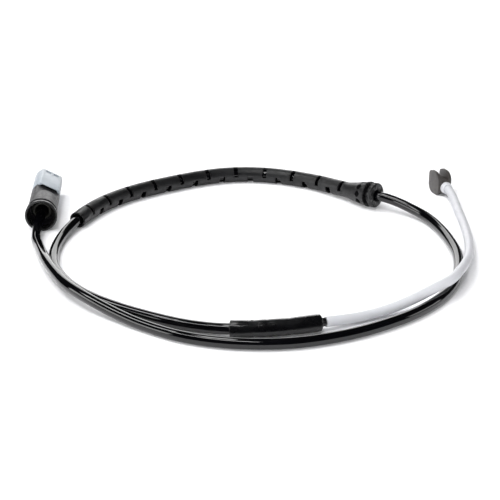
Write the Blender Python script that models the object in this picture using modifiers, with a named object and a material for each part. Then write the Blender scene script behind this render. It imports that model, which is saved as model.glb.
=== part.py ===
"""Brake pad wear sensor: a round two-pin plug, a black cable with a slotted bend sleeve and its
panel grommet, a splice, and a light lead that ends in a small spool-shaped sensing head.

It lies coiled on a flat surface. Metres, +Z up, the surface at z = 0.
"""

import math
from bisect import bisect_right

import bmesh
import bpy
from mathutils import Matrix, Vector

# Clearances
TOUCH_GAP = 0.0003  # between two pieces that touch
FLOOR_GAP = 0.0001  # under a cable that lies on the surface
CUT_MARGIN = 0.001  # how far a cutter runs past the face it opens

# Cables
CABLE_DIAMETER = 0.0046
LEAD_DIAMETER = 0.0041
CORE_DIAMETER = 0.0016
CORE_SPACING = 0.0019
LEAD_CORE_DIAMETER = 0.0009
LEAD_CORE_SPACING = 0.0012

# Plug, along its axis from the cable side
PLUG_YAW = math.radians(3.8)
KEY_ANGLE = math.radians(27.8)  # the flats face this far from straight up
CAP_RADIUS = 0.0075
CAP_FLANGE = 0.0010
CAP_SKIRT_WALL = 0.0005
CAP_SKIRT_LENGTH = 0.0030
CAP_MOUTH_RADIUS = 0.0066
CUP_RADIUS = 0.0060
CUP_DEPTH = 0.0100
SEAL_WIDTH = 0.0006
SEAL_RADIUS = 0.0071
BODY_MOUTH_RADIUS = 0.0073
BODY_RADIUS = 0.0068
BODY_FLARE_END = 0.0070
BODY_END = 0.0280
BODY_FLAT_HEIGHT = 0.00375
BODY_FLAT_LENGTH = 0.0110
BUSH_RADIUS = 0.0052
BUSH_LENGTH = 0.0057
CHAMBER_RADIUS = 0.0034
NOSE_RADIUS = 0.0056
NOSE_LENGTH = 0.0050
CABLE_IN_CHAMBER = 0.0017
HOUSING_RADIUS = 0.00685
HOUSING_LENGTH = 0.0217
HOUSING_FLAT_HEIGHT = 0.0050
HOUSING_LIP = 0.00035  # over the slit that the body's flat leaves open
SOCKET_RADIUS = 0.0056
SOCKET_FLAT_HEIGHT = 0.0041
SOCKET_DEPTH = 0.0120
LATCH_WIDTH = 0.0026
LATCH_SPACING = 0.0040
LATCH_LENGTH = 0.0030
LATCH_DEPTH = 0.0005
LATCH_SETBACK = 0.0012
LOCK_THICKNESS = 0.0017
CONTACT_SPACING = 0.0040
PIN_DIAMETER = 0.0012
PIN_SETBACK = 0.0055
BARREL_DIAMETER = 0.0022
BARREL_LENGTH = 0.0067

# Bend sleeve with its panel grommet, along the cable from the grommet's face
SLEEVE_RADIUS = 0.0038
SLEEVE_BORE_RADIUS = 0.00305
SLEEVE_LENGTH = 0.1686
SLOT_STEP = 0.0078  # slots come from above and from below by turns
SLOT_WIDTH = 0.0018
SLOT_PAST_AXIS = 0.0006
FIRST_SLOT = 0.0100
COLLAR_RADIUS = 0.0060
COLLAR_THICKNESS = 0.0024
GROOVE_RADIUS = 0.0050
GROOVE_WIDTH = 0.0018
CONE_RADIUS = 0.0062
CONE_LENGTH = 0.0146
DIMPLE_COUNT = 9
DIMPLE_WIDTH = 0.0022
DIMPLE_DEPTH = 0.0010
DIMPLE_SETBACK = 0.0040  # behind the cone's wide end

# Splice between the black cable and the light lead
SPLICE_RADIUS = 0.0035
SPLICE_LENGTH = 0.0360
SPLICE_CHAMBER_RADIUS = 0.00285
CABLE_IN_SPLICE = 0.0080
SPLICE_CORE_LENGTH = 0.0040
CRIMP_DIAMETER = 0.0022
CRIMP_LENGTH = 0.0100
CRIMP_SPACING = 0.0029
SPLICE_END_WALL = 0.0090
NECK_RADIUS = 0.00175
NECK_LENGTH = 0.0020

# Sensing head: two plates joined by a boss, standing on edge
HEAD_YAW = math.radians(22.0)
HEAD_PLACE = (0.0921, 0.0771)
PLATE_LENGTH = 0.0098
PLATE_HEIGHT = 0.0114
PLATE_THICKNESS = 0.0015
PLATE_CORNER = 0.0030
HEAD_GROOVE = 0.0043
BOSS_PROUD = 0.0004  # past the plates' front edges
BOSS_BACK = 0.0038
BOSS_HEIGHT = 0.0062
BOSS_CENTRE_HEIGHT = 0.0044
BOSS_CORNER = 0.0008
LEAD_BORE_DEPTH = 0.0050
LOOP_WIRE_DIAMETER = 0.0009
LOOP_RADIUS = 0.00075
LOOP_LEG = 0.0019
COLLAR_LENGTH = 0.0026
COLLAR_WALL = 0.00055

# Small edges
SOFT_EDGE = 0.0003
COLLAR_EDGE = 0.0005

# Route of the cable from the plug to the sleeve: x, y and the rise above lying flat
FIRST_LAP = [
    (-0.0978, 0.0285, 0.0042),
    (-0.0982, 0.0220, 0.0025),
    (-0.0980, 0.0150, 0.0009),
    (-0.0972, 0.0075, 0.0001),
    (-0.0948, -0.0010, 0.0005),
    (-0.0916, -0.0130, 0.0020),
    (-0.0882, -0.0246, 0.0033),
    (-0.0830, -0.0380, 0.0038),
    (-0.0760, -0.0520, 0.0037),
    (-0.0665, -0.0635, 0.0029),
    (-0.0545, -0.0742, 0.0012),
    (-0.0420, -0.0840, 0.0001),
    (-0.0270, -0.0937, 0.0),
    (-0.0115, -0.0990, 0.0),
    (0.0045, -0.1006, 0.0),
    (0.0200, -0.0989, 0.0),
    (0.0366, -0.0930, 0.0),
    (0.0510, -0.0847, 0.0),
    (0.0650, -0.0736, 0.0),
    (0.0765, -0.0604, 0.0),
    (0.0848, -0.0450, 0.0),
    (0.0898, -0.0280, 0.0),
    (0.0918, -0.0090, 0.0),
    (0.0906, 0.0080, 0.0),
    (0.0880, 0.0220, 0.0002),
    (0.0838, 0.0338, 0.0008),
    (0.0770, 0.0431, 0.0020),
    (0.0696, 0.0493, 0.0036),
]
# The sleeve's stretch, from the grommet's face to the mouth: x, y and the rise of the sleeve
SLEEVE_STRETCH = [
    (0.0617, 0.0543, 0.0031),
    (0.0517, 0.0641, 0.0017),
    (0.0426, 0.0737, 0.0008),
    (0.0336, 0.0822, 0.0002),
    (0.0227, 0.0889, 0.0),
    (0.0105, 0.0936, 0.0),
    (-0.0018, 0.0954, 0.0),
    (-0.0141, 0.0939, 0.0),
    (-0.0263, 0.0890, 0.0),
    (-0.0382, 0.0820, 0.0),
    (-0.0499, 0.0740, 0.0),
    (-0.0605, 0.0646, 0.0),
    (-0.0696, 0.0534, 0.0),
    (-0.0762, 0.0413, 0.0),
    (-0.0810, 0.0287, 0.0),
]
# From the sleeve's mouth to the splice: x, y and the rise above lying flat
SECOND_LAP = [
    (-0.0849, 0.0160, 0.0005),
    (-0.0868, 0.0040, 0.0),
    (-0.0870, -0.0080, 0.0),
    (-0.0852, -0.0220, 0.0),
    (-0.0802, -0.0355, 0.0),
    (-0.0728, -0.0480, 0.0),
    (-0.0635, -0.0585, 0.0),
    (-0.0520, -0.0680, 0.0),
    (-0.0392, -0.0763, 0.0),
    (-0.0273, -0.0826, 0.0),
    (-0.0165, -0.0870, 0.0004),
]
# The splice's stretch: x, y
SPLICE_STRETCH = [
    (-0.0077, -0.0896),
    (0.0040, -0.0892),
    (0.0160, -0.0872),
    (0.0278, -0.0837),
]
# The light lead, with the long low hump that carries it over the cable: x, y and the rise
LEAD_STRETCH = [
    (0.0365, -0.0797, 0.0006),
    (0.0445, -0.0755, 0.0),
    (0.0530, -0.0710, 0.0003),
    (0.0615, -0.0664, 0.0014),
    (0.0695, -0.0618, 0.0032),
    (0.0772, -0.0564, 0.0049),
    (0.0834, -0.0502, 0.0053),
    (0.0880, -0.0413, 0.0052),
    (0.0917, -0.0320, 0.0045),
    (0.0948, -0.0215, 0.0033),
    (0.0974, -0.0080, 0.0018),
    (0.0992, 0.0060, 0.0007),
    (0.1001, 0.0200, 0.0),
    (0.1003, 0.0340, 0.0),
    (0.1002, 0.0465, 0.0001),
    (0.1001, 0.0560, 0.0006),
    (0.0997, 0.0640, 0.0014),
]
PLUG_PLACE = (-0.0972, 0.0244)
CURVE_PIECES = 24  # straight pieces between two route points
COARSE_STEP = 0.0108  # between two points of a tube
LEAD_STEP = 0.0080
FINE_STEP = 0.0040
FINE_STRETCH = 0.0240  # a tube is finer this near to each end

# Facets
PLUG_STEPS = 32
SLEEVE_STEPS = 20
SPLICE_STEPS = 16
SMALL_STEPS = 12
CABLE_BEVEL_STEPS = 3
THIN_BEVEL_STEPS = 2

# Sizes that follow from those above
CABLE_RADIUS = CABLE_DIAMETER / 2
LEAD_RADIUS = LEAD_DIAMETER / 2
CAP_END = CAP_FLANGE + CAP_SKIRT_LENGTH
CAP_SKIRT_RADIUS = CUP_RADIUS + CAP_SKIRT_WALL
BODY_START = CAP_FLANGE + SEAL_WIDTH + 2 * TOUCH_GAP
BODY_FLAT_START = BODY_END - BODY_FLAT_LENGTH
BUSH_START = CUP_DEPTH + TOUCH_GAP
CHAMBER_START = BUSH_START + BUSH_LENGTH + TOUCH_GAP
CABLE_END = CHAMBER_START + CABLE_IN_CHAMBER
NOSE_END = BODY_END + NOSE_LENGTH
HOUSING_START = BODY_END + TOUCH_GAP
HOUSING_END = HOUSING_START + HOUSING_LENGTH
LOCK_START = NOSE_END + TOUCH_GAP
WALL_START = LOCK_START + LOCK_THICKNESS + TOUCH_GAP
SOCKET_START = HOUSING_END - SOCKET_DEPTH
PIN_END = HOUSING_END - PIN_SETBACK
BARREL_END = NOSE_END - TOUCH_GAP
BARREL_START = BARREL_END - BARREL_LENGTH
GROMMET_LENGTH = COLLAR_THICKNESS + GROOVE_WIDTH + CONE_LENGTH
HEAD_WIDTH = 2 * PLATE_THICKNESS + HEAD_GROOVE
BOSS_FRONT = PLATE_LENGTH / 2 + BOSS_PROUD

PIECES = "brake_wear_sensor"
CUTTERS = "brake_wear_sensor_cutters"
UP = Vector((0.0, 0.0, 1.0))


class Route:
    """A smooth curve through hand-chosen points, measured by distance along it."""

    def __init__(self, points):
        ends = [2 * points[0] - points[1], *points, 2 * points[-1] - points[-2]]
        self.places = []
        for a, b, c, d in zip(ends, ends[1:], ends[2:], ends[3:]):
            for piece in range(CURVE_PIECES):
                u = piece / CURVE_PIECES
                bend = (2 * a - 5 * b + 4 * c - d) * u**2 + (3 * b - a - 3 * c + d) * u**3
                self.places.append(0.5 * (2 * b + (c - a) * u + bend))
        self.places.append(points[-1])
        self.distances = [0.0]
        for a, b in zip(self.places, self.places[1:]):
            self.distances.append(self.distances[-1] + (b - a).length)
        self.length = self.distances[-1]

    def distance_at(self, index):
        """How far along the route its point of this number lies."""
        return self.distances[index * CURVE_PIECES]

    def place(self, distance):
        last = len(self.places) - 1
        k = min(max(bisect_right(self.distances, distance), 1), last)
        span = self.distances[k] - self.distances[k - 1]
        return self.places[k - 1].lerp(self.places[k], (distance - self.distances[k - 1]) / span)

    def point(self, distance, up=0.0, side=0.0):
        """A point beside the route: up is away from the surface, side is to the right."""
        reach = FINE_STEP / 4
        along = (self.place(distance + reach) - self.place(distance - reach)).normalized()
        right = along.cross(UP).normalized()
        return self.place(distance) + up * right.cross(along) + side * right

    def stretch(self, start, end, step):
        """Points from start to end, closer together near both."""
        found = [start]
        while found[-1] < end:
            near_end = min(found[-1] - start, end - found[-1]) < FINE_STRETCH
            found.append(found[-1] + (FINE_STEP if near_end else step))
        found[-1] = end
        if found[-1] - found[-2] < FINE_STEP / 2:
            del found[-2]
        return [self.place(distance) for distance in found]


def clear_scene():
    for obj in list(bpy.data.objects):
        bpy.data.objects.remove(obj)
    for name in (PIECES, CUTTERS):
        collection = bpy.data.collections.new(name)
        bpy.context.scene.collection.children.link(collection)
    bpy.data.collections[CUTTERS].hide_render = True


def material(name, colour, roughness, metallic=0.0):
    made = bpy.data.materials.new(name)
    made.use_nodes = True
    shader = made.node_tree.nodes["Principled BSDF"]
    shader.inputs["Base Color"].default_value = (*colour, 1.0)
    shader.inputs["Roughness"].default_value = roughness
    shader.inputs["Metallic"].default_value = metallic
    return made


def empty(name, frame, parent=None):
    made = bpy.data.objects.new(name, None)
    made.matrix_local = frame
    made.empty_display_size = 0.01
    made.parent = parent
    bpy.data.collections[PIECES].objects.link(made)
    return made


def piece(name, data, look, parent):
    made = bpy.data.objects.new(name, data)
    made.parent = parent
    data.materials.append(look)
    bpy.data.collections[PIECES].objects.link(made)
    return made


def turn(obj, steps):
    screw = obj.modifiers.new("Turned", "SCREW")
    screw.axis = "Z"
    screw.steps = steps
    screw.render_steps = steps
    screw.use_merge_vertices = True
    screw.merge_threshold = 0.00001


def turned(name, profile, look, parent, steps, ring=True):
    """Turns (radius, height) points about Z. The outer side runs from top to bottom."""
    mesh = bpy.data.meshes.new(name)
    bm = bmesh.new()
    verts = [bm.verts.new((radius, 0.0, height)) for radius, height in profile]
    for a, b in zip(verts, verts[1:]):
        bm.edges.new((a, b))
    if ring:
        bm.edges.new((verts[-1], verts[0]))
    bm.to_mesh(mesh)
    bm.free()
    made = piece(name, mesh, look, parent)
    turn(made, steps)
    return made


def solid(name, build, look, parent):
    """An object whose mesh the function build makes."""
    mesh = bpy.data.meshes.new(name)
    bm = bmesh.new()
    build(bm)
    bm.to_mesh(mesh)
    bm.free()
    return piece(name, mesh, look, parent)


def shape(target, name, build, operation="DIFFERENCE"):
    """Cuts the target with, or joins it to, a helper mesh that keeps the target's place."""
    mesh = bpy.data.meshes.new(name)
    bm = bmesh.new()
    build(bm)
    bm.to_mesh(mesh)
    bm.free()
    helper = bpy.data.objects.new(name, mesh)
    helper.parent = target.parent
    helper.hide_render = True
    helper.display_type = "WIRE"
    bpy.data.collections[CUTTERS].objects.link(helper)
    boolean = target.modifiers.new(name, "BOOLEAN")
    boolean.operation = operation
    boolean.solver = "EXACT"
    boolean.object = helper
    return helper


def add_box(bm, low, high, turn_about_z=0.0):
    """A box between two corners, turned about Z."""
    low, high = Vector(low), Vector(high)
    place = Matrix.Translation((low + high) / 2) @ Matrix.Diagonal((high - low).to_4d())
    place[3][3] = 1.0
    spin = Matrix.Rotation(turn_about_z, 4, "Z")
    return bmesh.ops.create_cube(bm, size=1.0, matrix=spin @ place)["verts"]


def add_rod(bm, radius, low, high, centre=(0.0, 0.0), segments=PLUG_STEPS):
    """A rod along Z."""
    place = Matrix.Translation((centre[0], centre[1], (low + high) / 2))
    return bmesh.ops.create_cone(
        bm,
        cap_ends=True,
        segments=segments,
        radius1=radius,
        radius2=radius,
        depth=high - low,
        matrix=place,
    )["verts"]


def tube(name, points, radius, bevel_steps, look, parent):
    curve = bpy.data.curves.new(name, "CURVE")
    curve.dimensions = "3D"
    curve.bevel_depth = radius
    curve.bevel_resolution = bevel_steps
    curve.use_fill_caps = True
    spline = curve.splines.new("POLY")
    spline.points.add(len(points) - 1)
    for target, point in zip(spline.points, points):
        target.co = (*point, 1.0)
    return piece(name, curve, look, parent)


def lay_along(obj, route, start, side=0.0):
    """Bends a piece that was made along Z so that it follows the route. Its +X faces up."""
    graph = bpy.context.evaluated_depsgraph_get()
    mesh = bpy.data.meshes.new_from_object(obj.evaluated_get(graph))
    helpers = [modifier.object for modifier in obj.modifiers if modifier.type == "BOOLEAN"]
    obj.modifiers.clear()
    for helper in helpers:
        bpy.data.objects.remove(helper)
    for vert in mesh.vertices:
        up, right, height = vert.co
        vert.co = route.point(start + height, up, side + right)
    mesh.shade_smooth()
    mesh.set_sharp_from_angle(angle=math.radians(35.0))
    obj.data = mesh


def at_key(x, y):
    """Turns a point of the plug's cross section to the direction of its flats."""
    return (
        x * math.cos(KEY_ANGLE) - y * math.sin(KEY_ANGLE),
        x * math.sin(KEY_ANGLE) + y * math.cos(KEY_ANGLE),
    )


def make_end_cap(look, parent):
    turned(
        "plug_end_cap",
        [
            (CUP_RADIUS, CAP_END),
            (CAP_SKIRT_RADIUS, CAP_END),
            (CAP_SKIRT_RADIUS, CAP_FLANGE),
            (CAP_RADIUS, CAP_FLANGE),
            (CAP_RADIUS, SOFT_EDGE),
            (CAP_RADIUS - SOFT_EDGE, 0.0),
            (CAP_MOUTH_RADIUS, 0.0),
            (CUP_RADIUS, CAP_FLANGE),
        ],
        look,
        parent,
        PLUG_STEPS,
    )


def make_seal_ring(look, parent):
    low = CAP_FLANGE + TOUCH_GAP
    high = low + SEAL_WIDTH
    inner = CAP_SKIRT_RADIUS + TOUCH_GAP
    turned(
        "plug_seal_ring",
        [(inner, high), (SEAL_RADIUS, high), (SEAL_RADIUS, low), (inner, low)],
        look,
        parent,
        PLUG_STEPS,
    )


def make_plug_body(look, parent):
    counterbore = CAP_SKIRT_RADIUS + TOUCH_GAP
    seat = BUSH_RADIUS + TOUCH_GAP
    made = turned(
        "plug_body",
        [
            (CHAMBER_RADIUS, NOSE_END),
            (NOSE_RADIUS - SOFT_EDGE, NOSE_END),
            (NOSE_RADIUS, NOSE_END - SOFT_EDGE),
            (NOSE_RADIUS, BODY_END),
            (BODY_RADIUS, BODY_END),
            (BODY_RADIUS, BODY_FLARE_END),
            (BODY_MOUTH_RADIUS, BODY_START + SOFT_EDGE),
            (BODY_MOUTH_RADIUS - SOFT_EDGE, BODY_START),
            (counterbore, BODY_START),
            (counterbore, CAP_END + TOUCH_GAP),
            (CUP_RADIUS, CAP_END + TOUCH_GAP),
            (CUP_RADIUS, CUP_DEPTH),
            (seat, CUP_DEPTH),
            (seat, CHAMBER_START),
            (CHAMBER_RADIUS, CHAMBER_START),
        ],
        look,
        parent,
        PLUG_STEPS,
    )
    reach = 2 * BODY_RADIUS
    shape(
        made,
        "body_flat",
        lambda bm: add_box(
            bm,
            (BODY_FLAT_HEIGHT, -reach, BODY_FLAT_START),
            (reach, reach, NOSE_END + CUT_MARGIN),
            KEY_ANGLE,
        ),
    )


def make_cable_bush(look, parent):
    low, high = BUSH_START, BUSH_START + BUSH_LENGTH
    bore = CABLE_RADIUS + TOUCH_GAP
    turned(
        "plug_cable_bush",
        [
            (bore, high),
            (BUSH_RADIUS, high),
            (BUSH_RADIUS, low + SOFT_EDGE),
            (BUSH_RADIUS - SOFT_EDGE, low),
            (bore + SOFT_EDGE, low),
            (bore, low + SOFT_EDGE),
        ],
        look,
        parent,
        PLUG_STEPS,
    )


def add_keyed_rod(bm, radius, flat_height, low, high):
    """A rod along Z with one flat, which faces the plug's key direction."""
    verts = add_rod(bm, radius, low, high)
    bmesh.ops.rotate(bm, verts=verts, matrix=Matrix.Rotation(KEY_ANGLE, 3, "Z"))
    normal = Vector((*at_key(1.0, 0.0), 0.0))
    bmesh.ops.bisect_plane(
        bm,
        geom=bm.verts[:] + bm.edges[:] + bm.faces[:],
        plane_co=normal * flat_height,
        plane_no=normal,
        clear_outer=True,
    )
    bmesh.ops.holes_fill(bm, edges=[edge for edge in bm.edges if edge.is_boundary])
    bmesh.ops.recalc_face_normals(bm, faces=bm.faces[:])


def contact_places():
    return [at_key(0.0, sign * CONTACT_SPACING / 2) for sign in (-1, 1)]


def make_housing(look, parent):
    made = turned(
        "plug_housing",
        [
            (0.0, HOUSING_END),
            (HOUSING_RADIUS - SOFT_EDGE, HOUSING_END),
            (HOUSING_RADIUS, HOUSING_END - SOFT_EDGE),
            (HOUSING_RADIUS, HOUSING_START + SOFT_EDGE),
            (HOUSING_RADIUS - SOFT_EDGE, HOUSING_START),
            (0.0, HOUSING_START),
        ],
        look,
        parent,
        PLUG_STEPS,
        ring=False,
    )
    reach = 2 * HOUSING_RADIUS

    def flat(bm):
        add_box(
            bm,
            (HOUSING_FLAT_HEIGHT, -reach, HOUSING_START - CUT_MARGIN),
            (reach, reach, HOUSING_END + CUT_MARGIN),
            KEY_ANGLE,
        )

    def socket(bm):
        add_keyed_rod(
            bm, SOCKET_RADIUS, SOCKET_FLAT_HEIGHT, SOCKET_START, HOUSING_END + CUT_MARGIN
        )

    def rear_socket(bm):
        add_keyed_rod(
            bm,
            NOSE_RADIUS + TOUCH_GAP,
            HOUSING_FLAT_HEIGHT - HOUSING_LIP,
            HOUSING_START - CUT_MARGIN,
            WALL_START,
        )

    def latch(bm):
        end = HOUSING_END - LATCH_SETBACK
        for middle in (-LATCH_SPACING / 2, LATCH_SPACING / 2):
            add_box(
                bm,
                (HOUSING_FLAT_HEIGHT - LATCH_DEPTH, middle - LATCH_WIDTH / 2, end - LATCH_LENGTH),
                (reach, middle + LATCH_WIDTH / 2, end),
                KEY_ANGLE,
            )

    def pin_holes(bm):
        for centre in contact_places():
            add_rod(
                bm,
                PIN_DIAMETER / 2 + TOUCH_GAP,
                WALL_START - CUT_MARGIN,
                SOCKET_START + CUT_MARGIN,
                centre,
                SMALL_STEPS,
            )

    shape(made, "housing_flat", flat)
    shape(made, "housing_socket", socket)
    shape(made, "housing_rear_socket", rear_socket)
    shape(made, "housing_latch", latch)
    shape(made, "housing_pin_holes", pin_holes)


def make_contact_lock(look, parent):
    high = LOCK_START + LOCK_THICKNESS
    made = solid(
        "plug_contact_lock",
        lambda bm: add_keyed_rod(bm, NOSE_RADIUS, BODY_FLAT_HEIGHT, LOCK_START, high),
        look,
        parent,
    )

    def pin_holes(bm):
        for centre in contact_places():
            add_rod(
                bm,
                PIN_DIAMETER / 2 + TOUCH_GAP,
                LOCK_START - CUT_MARGIN,
                high + CUT_MARGIN,
                centre,
                SMALL_STEPS,
            )

    shape(made, "lock_pin_holes", pin_holes)


def make_contacts(look, parent):
    pin = PIN_DIAMETER / 2
    barrel = BARREL_DIAMETER / 2
    for number, centre in enumerate(contact_places(), 1):
        made = turned(
            f"plug_contact_{number}",
            [
                (0.0, PIN_END),
                (pin - SOFT_EDGE, PIN_END),
                (pin, PIN_END - 2 * SOFT_EDGE),
                (pin, BARREL_END),
                (barrel, BARREL_END),
                (barrel, BARREL_START),
                (0.0, BARREL_START),
            ],
            look,
            parent,
            SMALL_STEPS,
            ring=False,
        )
        made.location = (*centre, 0.0)


def make_plug_cores(looks, parent):
    """The two cores run out of the cable's end and spread to the contacts."""
    start, end = CABLE_END + TOUCH_GAP, BARREL_START - TOUCH_GAP
    near, far = CORE_SPACING / 2, CONTACT_SPACING / 2
    spread = [0.0, 0.0, 0.25, 0.75, 1.0, 1.0]
    for number, (sign, look) in enumerate(zip((-1, 1), looks), 1):
        points = []
        for k, share in enumerate(spread):
            across = sign * (near + share * (far - near))
            height = start + (end - start) * k / (len(spread) - 1)
            points.append(Vector((*at_key(0.0, across), height)))
        tube(f"plug_core_{number}", points, CORE_DIAMETER / 2, THIN_BEVEL_STEPS, look, parent)


def sleeve_rings():
    """Distances from the sleeve's mouth of the rings between its slots."""
    found = []
    place = FIRST_SLOT - SLOT_STEP / 2
    while place < SLEEVE_LENGTH - SLOT_STEP / 4:
        found.append(place)
        place += SLOT_STEP
    return found


def make_bend_sleeve(look, parent, route, start):
    """One rubber moulding: the panel grommet at the bottom end and the slotted sleeve above it."""
    groove_low = COLLAR_THICKNESS
    groove_high = groove_low + GROOVE_WIDTH
    end = GROMMET_LENGTH + SLEEVE_LENGTH
    rings = [end - place for place in sleeve_rings()]
    cone_middle = (groove_high + GROMMET_LENGTH) / 2
    outer = [(SLEEVE_RADIUS - SOFT_EDGE, end), (SLEEVE_RADIUS, end - SOFT_EDGE)]
    outer += [(SLEEVE_RADIUS, height) for height in rings]
    outer += [
        (SLEEVE_RADIUS, GROMMET_LENGTH),
        ((CONE_RADIUS + SLEEVE_RADIUS) / 2, cone_middle),
        (CONE_RADIUS, groove_high + SOFT_EDGE),
        (CONE_RADIUS - SOFT_EDGE, groove_high),
        (GROOVE_RADIUS, groove_high),
        (GROOVE_RADIUS, groove_low),
        (COLLAR_RADIUS - COLLAR_EDGE, groove_low),
        (COLLAR_RADIUS, groove_low - COLLAR_EDGE),
        (COLLAR_RADIUS, COLLAR_EDGE),
        (COLLAR_RADIUS - COLLAR_EDGE, 0.0),
    ]
    inner = [(SLEEVE_BORE_RADIUS, height) for height in (0.0, cone_middle, GROMMET_LENGTH)]
    inner += [(SLEEVE_BORE_RADIUS, height) for height in reversed(rings)]
    inner.append((SLEEVE_BORE_RADIUS, end))
    made = turned("bend_sleeve", outer + inner, look, parent, SLEEVE_STEPS)

    def slots(bm):
        reach = 2 * SLEEVE_RADIUS
        for number, place in enumerate(sleeve_rings()):
            middle = end - place - SLOT_STEP / 2
            low, high = middle - SLOT_WIDTH / 2, middle + SLOT_WIDTH / 2
            if low < GROMMET_LENGTH:
                continue
            if number % 2:
                add_box(bm, (-reach, -reach, low), (SLOT_PAST_AXIS, reach, high))
            else:
                add_box(bm, (-SLOT_PAST_AXIS, -reach, low), (reach, reach, high))

    def dimples(bm):
        taper = (CONE_RADIUS - SLEEVE_RADIUS) / CONE_LENGTH
        radius = CONE_RADIUS - taper * DIMPLE_SETBACK
        middle = Matrix.Translation((radius, 0.0, groove_high + DIMPLE_SETBACK))
        lean = Matrix.Rotation(-math.atan(taper), 4, "Y")
        size = Matrix.Diagonal((DIMPLE_DEPTH, DIMPLE_WIDTH / 2, DIMPLE_WIDTH / 2, 1.0))
        for number in range(DIMPLE_COUNT):
            around = Matrix.Rotation(math.tau * number / DIMPLE_COUNT, 4, "Z")
            bmesh.ops.create_uvsphere(
                bm,
                u_segments=8,
                v_segments=6,
                radius=1.0,
                matrix=around @ middle @ lean @ size,
            )

    shape(made, "sleeve_slots", slots)
    shape(made, "grommet_dimples", dimples)
    lay_along(made, route, start)


def make_splice(looks, parent, route, start):
    core_start = CABLE_IN_SPLICE + TOUCH_GAP
    crimp_start = core_start + SPLICE_CORE_LENGTH + TOUCH_GAP
    crimp_end = crimp_start + CRIMP_LENGTH
    chamber_end = SPLICE_LENGTH - SPLICE_END_WALL
    neck_end = SPLICE_LENGTH + NECK_LENGTH
    cable_bore = CABLE_RADIUS + TOUCH_GAP
    core_bore = (LEAD_CORE_SPACING + LEAD_CORE_DIAMETER) / 2 + TOUCH_GAP
    outer_heights = [SPLICE_LENGTH * share for share in (0.8, 0.6, 0.4, 0.2)]
    inner_heights = [crimp_start + CRIMP_LENGTH * share for share in (0.0, 0.5, 1.0)]
    made = turned(
        "splice_sleeve",
        [
            (core_bore, neck_end),
            (NECK_RADIUS, neck_end),
            (NECK_RADIUS, SPLICE_LENGTH),
            (SPLICE_RADIUS - SOFT_EDGE, SPLICE_LENGTH),
            (SPLICE_RADIUS, SPLICE_LENGTH - SOFT_EDGE),
            *[(SPLICE_RADIUS, height) for height in outer_heights],
            (SPLICE_RADIUS, SOFT_EDGE),
            (SPLICE_RADIUS - SOFT_EDGE, 0.0),
            (cable_bore, 0.0),
            (cable_bore, core_start),
            (SPLICE_CHAMBER_RADIUS, core_start),
            *[(SPLICE_CHAMBER_RADIUS, height) for height in inner_heights],
            (SPLICE_CHAMBER_RADIUS, chamber_end),
            (core_bore, chamber_end),
        ],
        looks["shrink"],
        parent,
        SPLICE_STEPS,
    )
    lay_along(made, route, start)
    radius = CRIMP_DIAMETER / 2
    crimp = CRIMP_SPACING / 2
    cable_side = [
        (core_start, CORE_SPACING / 2),
        ((core_start + crimp_start) / 2, (CORE_SPACING / 2 + crimp) / 2),
        (crimp_start - TOUCH_GAP, crimp),
    ]
    lead_side = [
        (crimp_end + TOUCH_GAP, crimp),
        ((crimp_end + chamber_end) / 2, crimp - (crimp - LEAD_CORE_SPACING / 2) / 3),
        (chamber_end - 2 * TOUCH_GAP, LEAD_CORE_SPACING / 2),
        ((chamber_end + neck_end) / 2, LEAD_CORE_SPACING / 2),
        (neck_end, LEAD_CORE_SPACING / 2),
    ]
    for number, sign in enumerate((-1, 1), 1):
        made = turned(
            f"splice_crimp_{number}",
            [
                (0.0, crimp_end),
                (radius - SOFT_EDGE, crimp_end),
                (radius, crimp_end - SOFT_EDGE),
                (radius, crimp_start + SOFT_EDGE),
                (radius - SOFT_EDGE, crimp_start),
                (0.0, crimp_start),
            ],
            looks["tin"],
            parent,
            SMALL_STEPS,
            ring=False,
        )
        lay_along(made, route, start, side=sign * crimp)
        tube(
            f"splice_core_{number}",
            [route.point(start + s, 0.0, sign * across) for s, across in cable_side],
            CORE_DIAMETER / 2,
            THIN_BEVEL_STEPS,
            looks["cores"][number - 1],
            parent,
        )
        tube(
            f"lead_core_{number}",
            [route.point(start + s, 0.0, sign * across) for s, across in lead_side],
            LEAD_CORE_DIAMETER / 2,
            THIN_BEVEL_STEPS,
            looks["lead_core"],
            parent,
        )


def rounded_block(bm, low, high, axis, radius):
    """A box whose four edges along one axis are rounded."""
    verts = add_box(bm, low, high)
    edges = {edge for vert in verts for edge in vert.link_edges}
    chosen = []
    for edge in edges:
        run = edge.verts[1].co - edge.verts[0].co
        if abs(run[axis]) > run.length / 2:
            chosen.append(edge)
    bmesh.ops.bevel(bm, geom=chosen, offset=radius, segments=5, profile=0.5, affect="EDGES")


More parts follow.
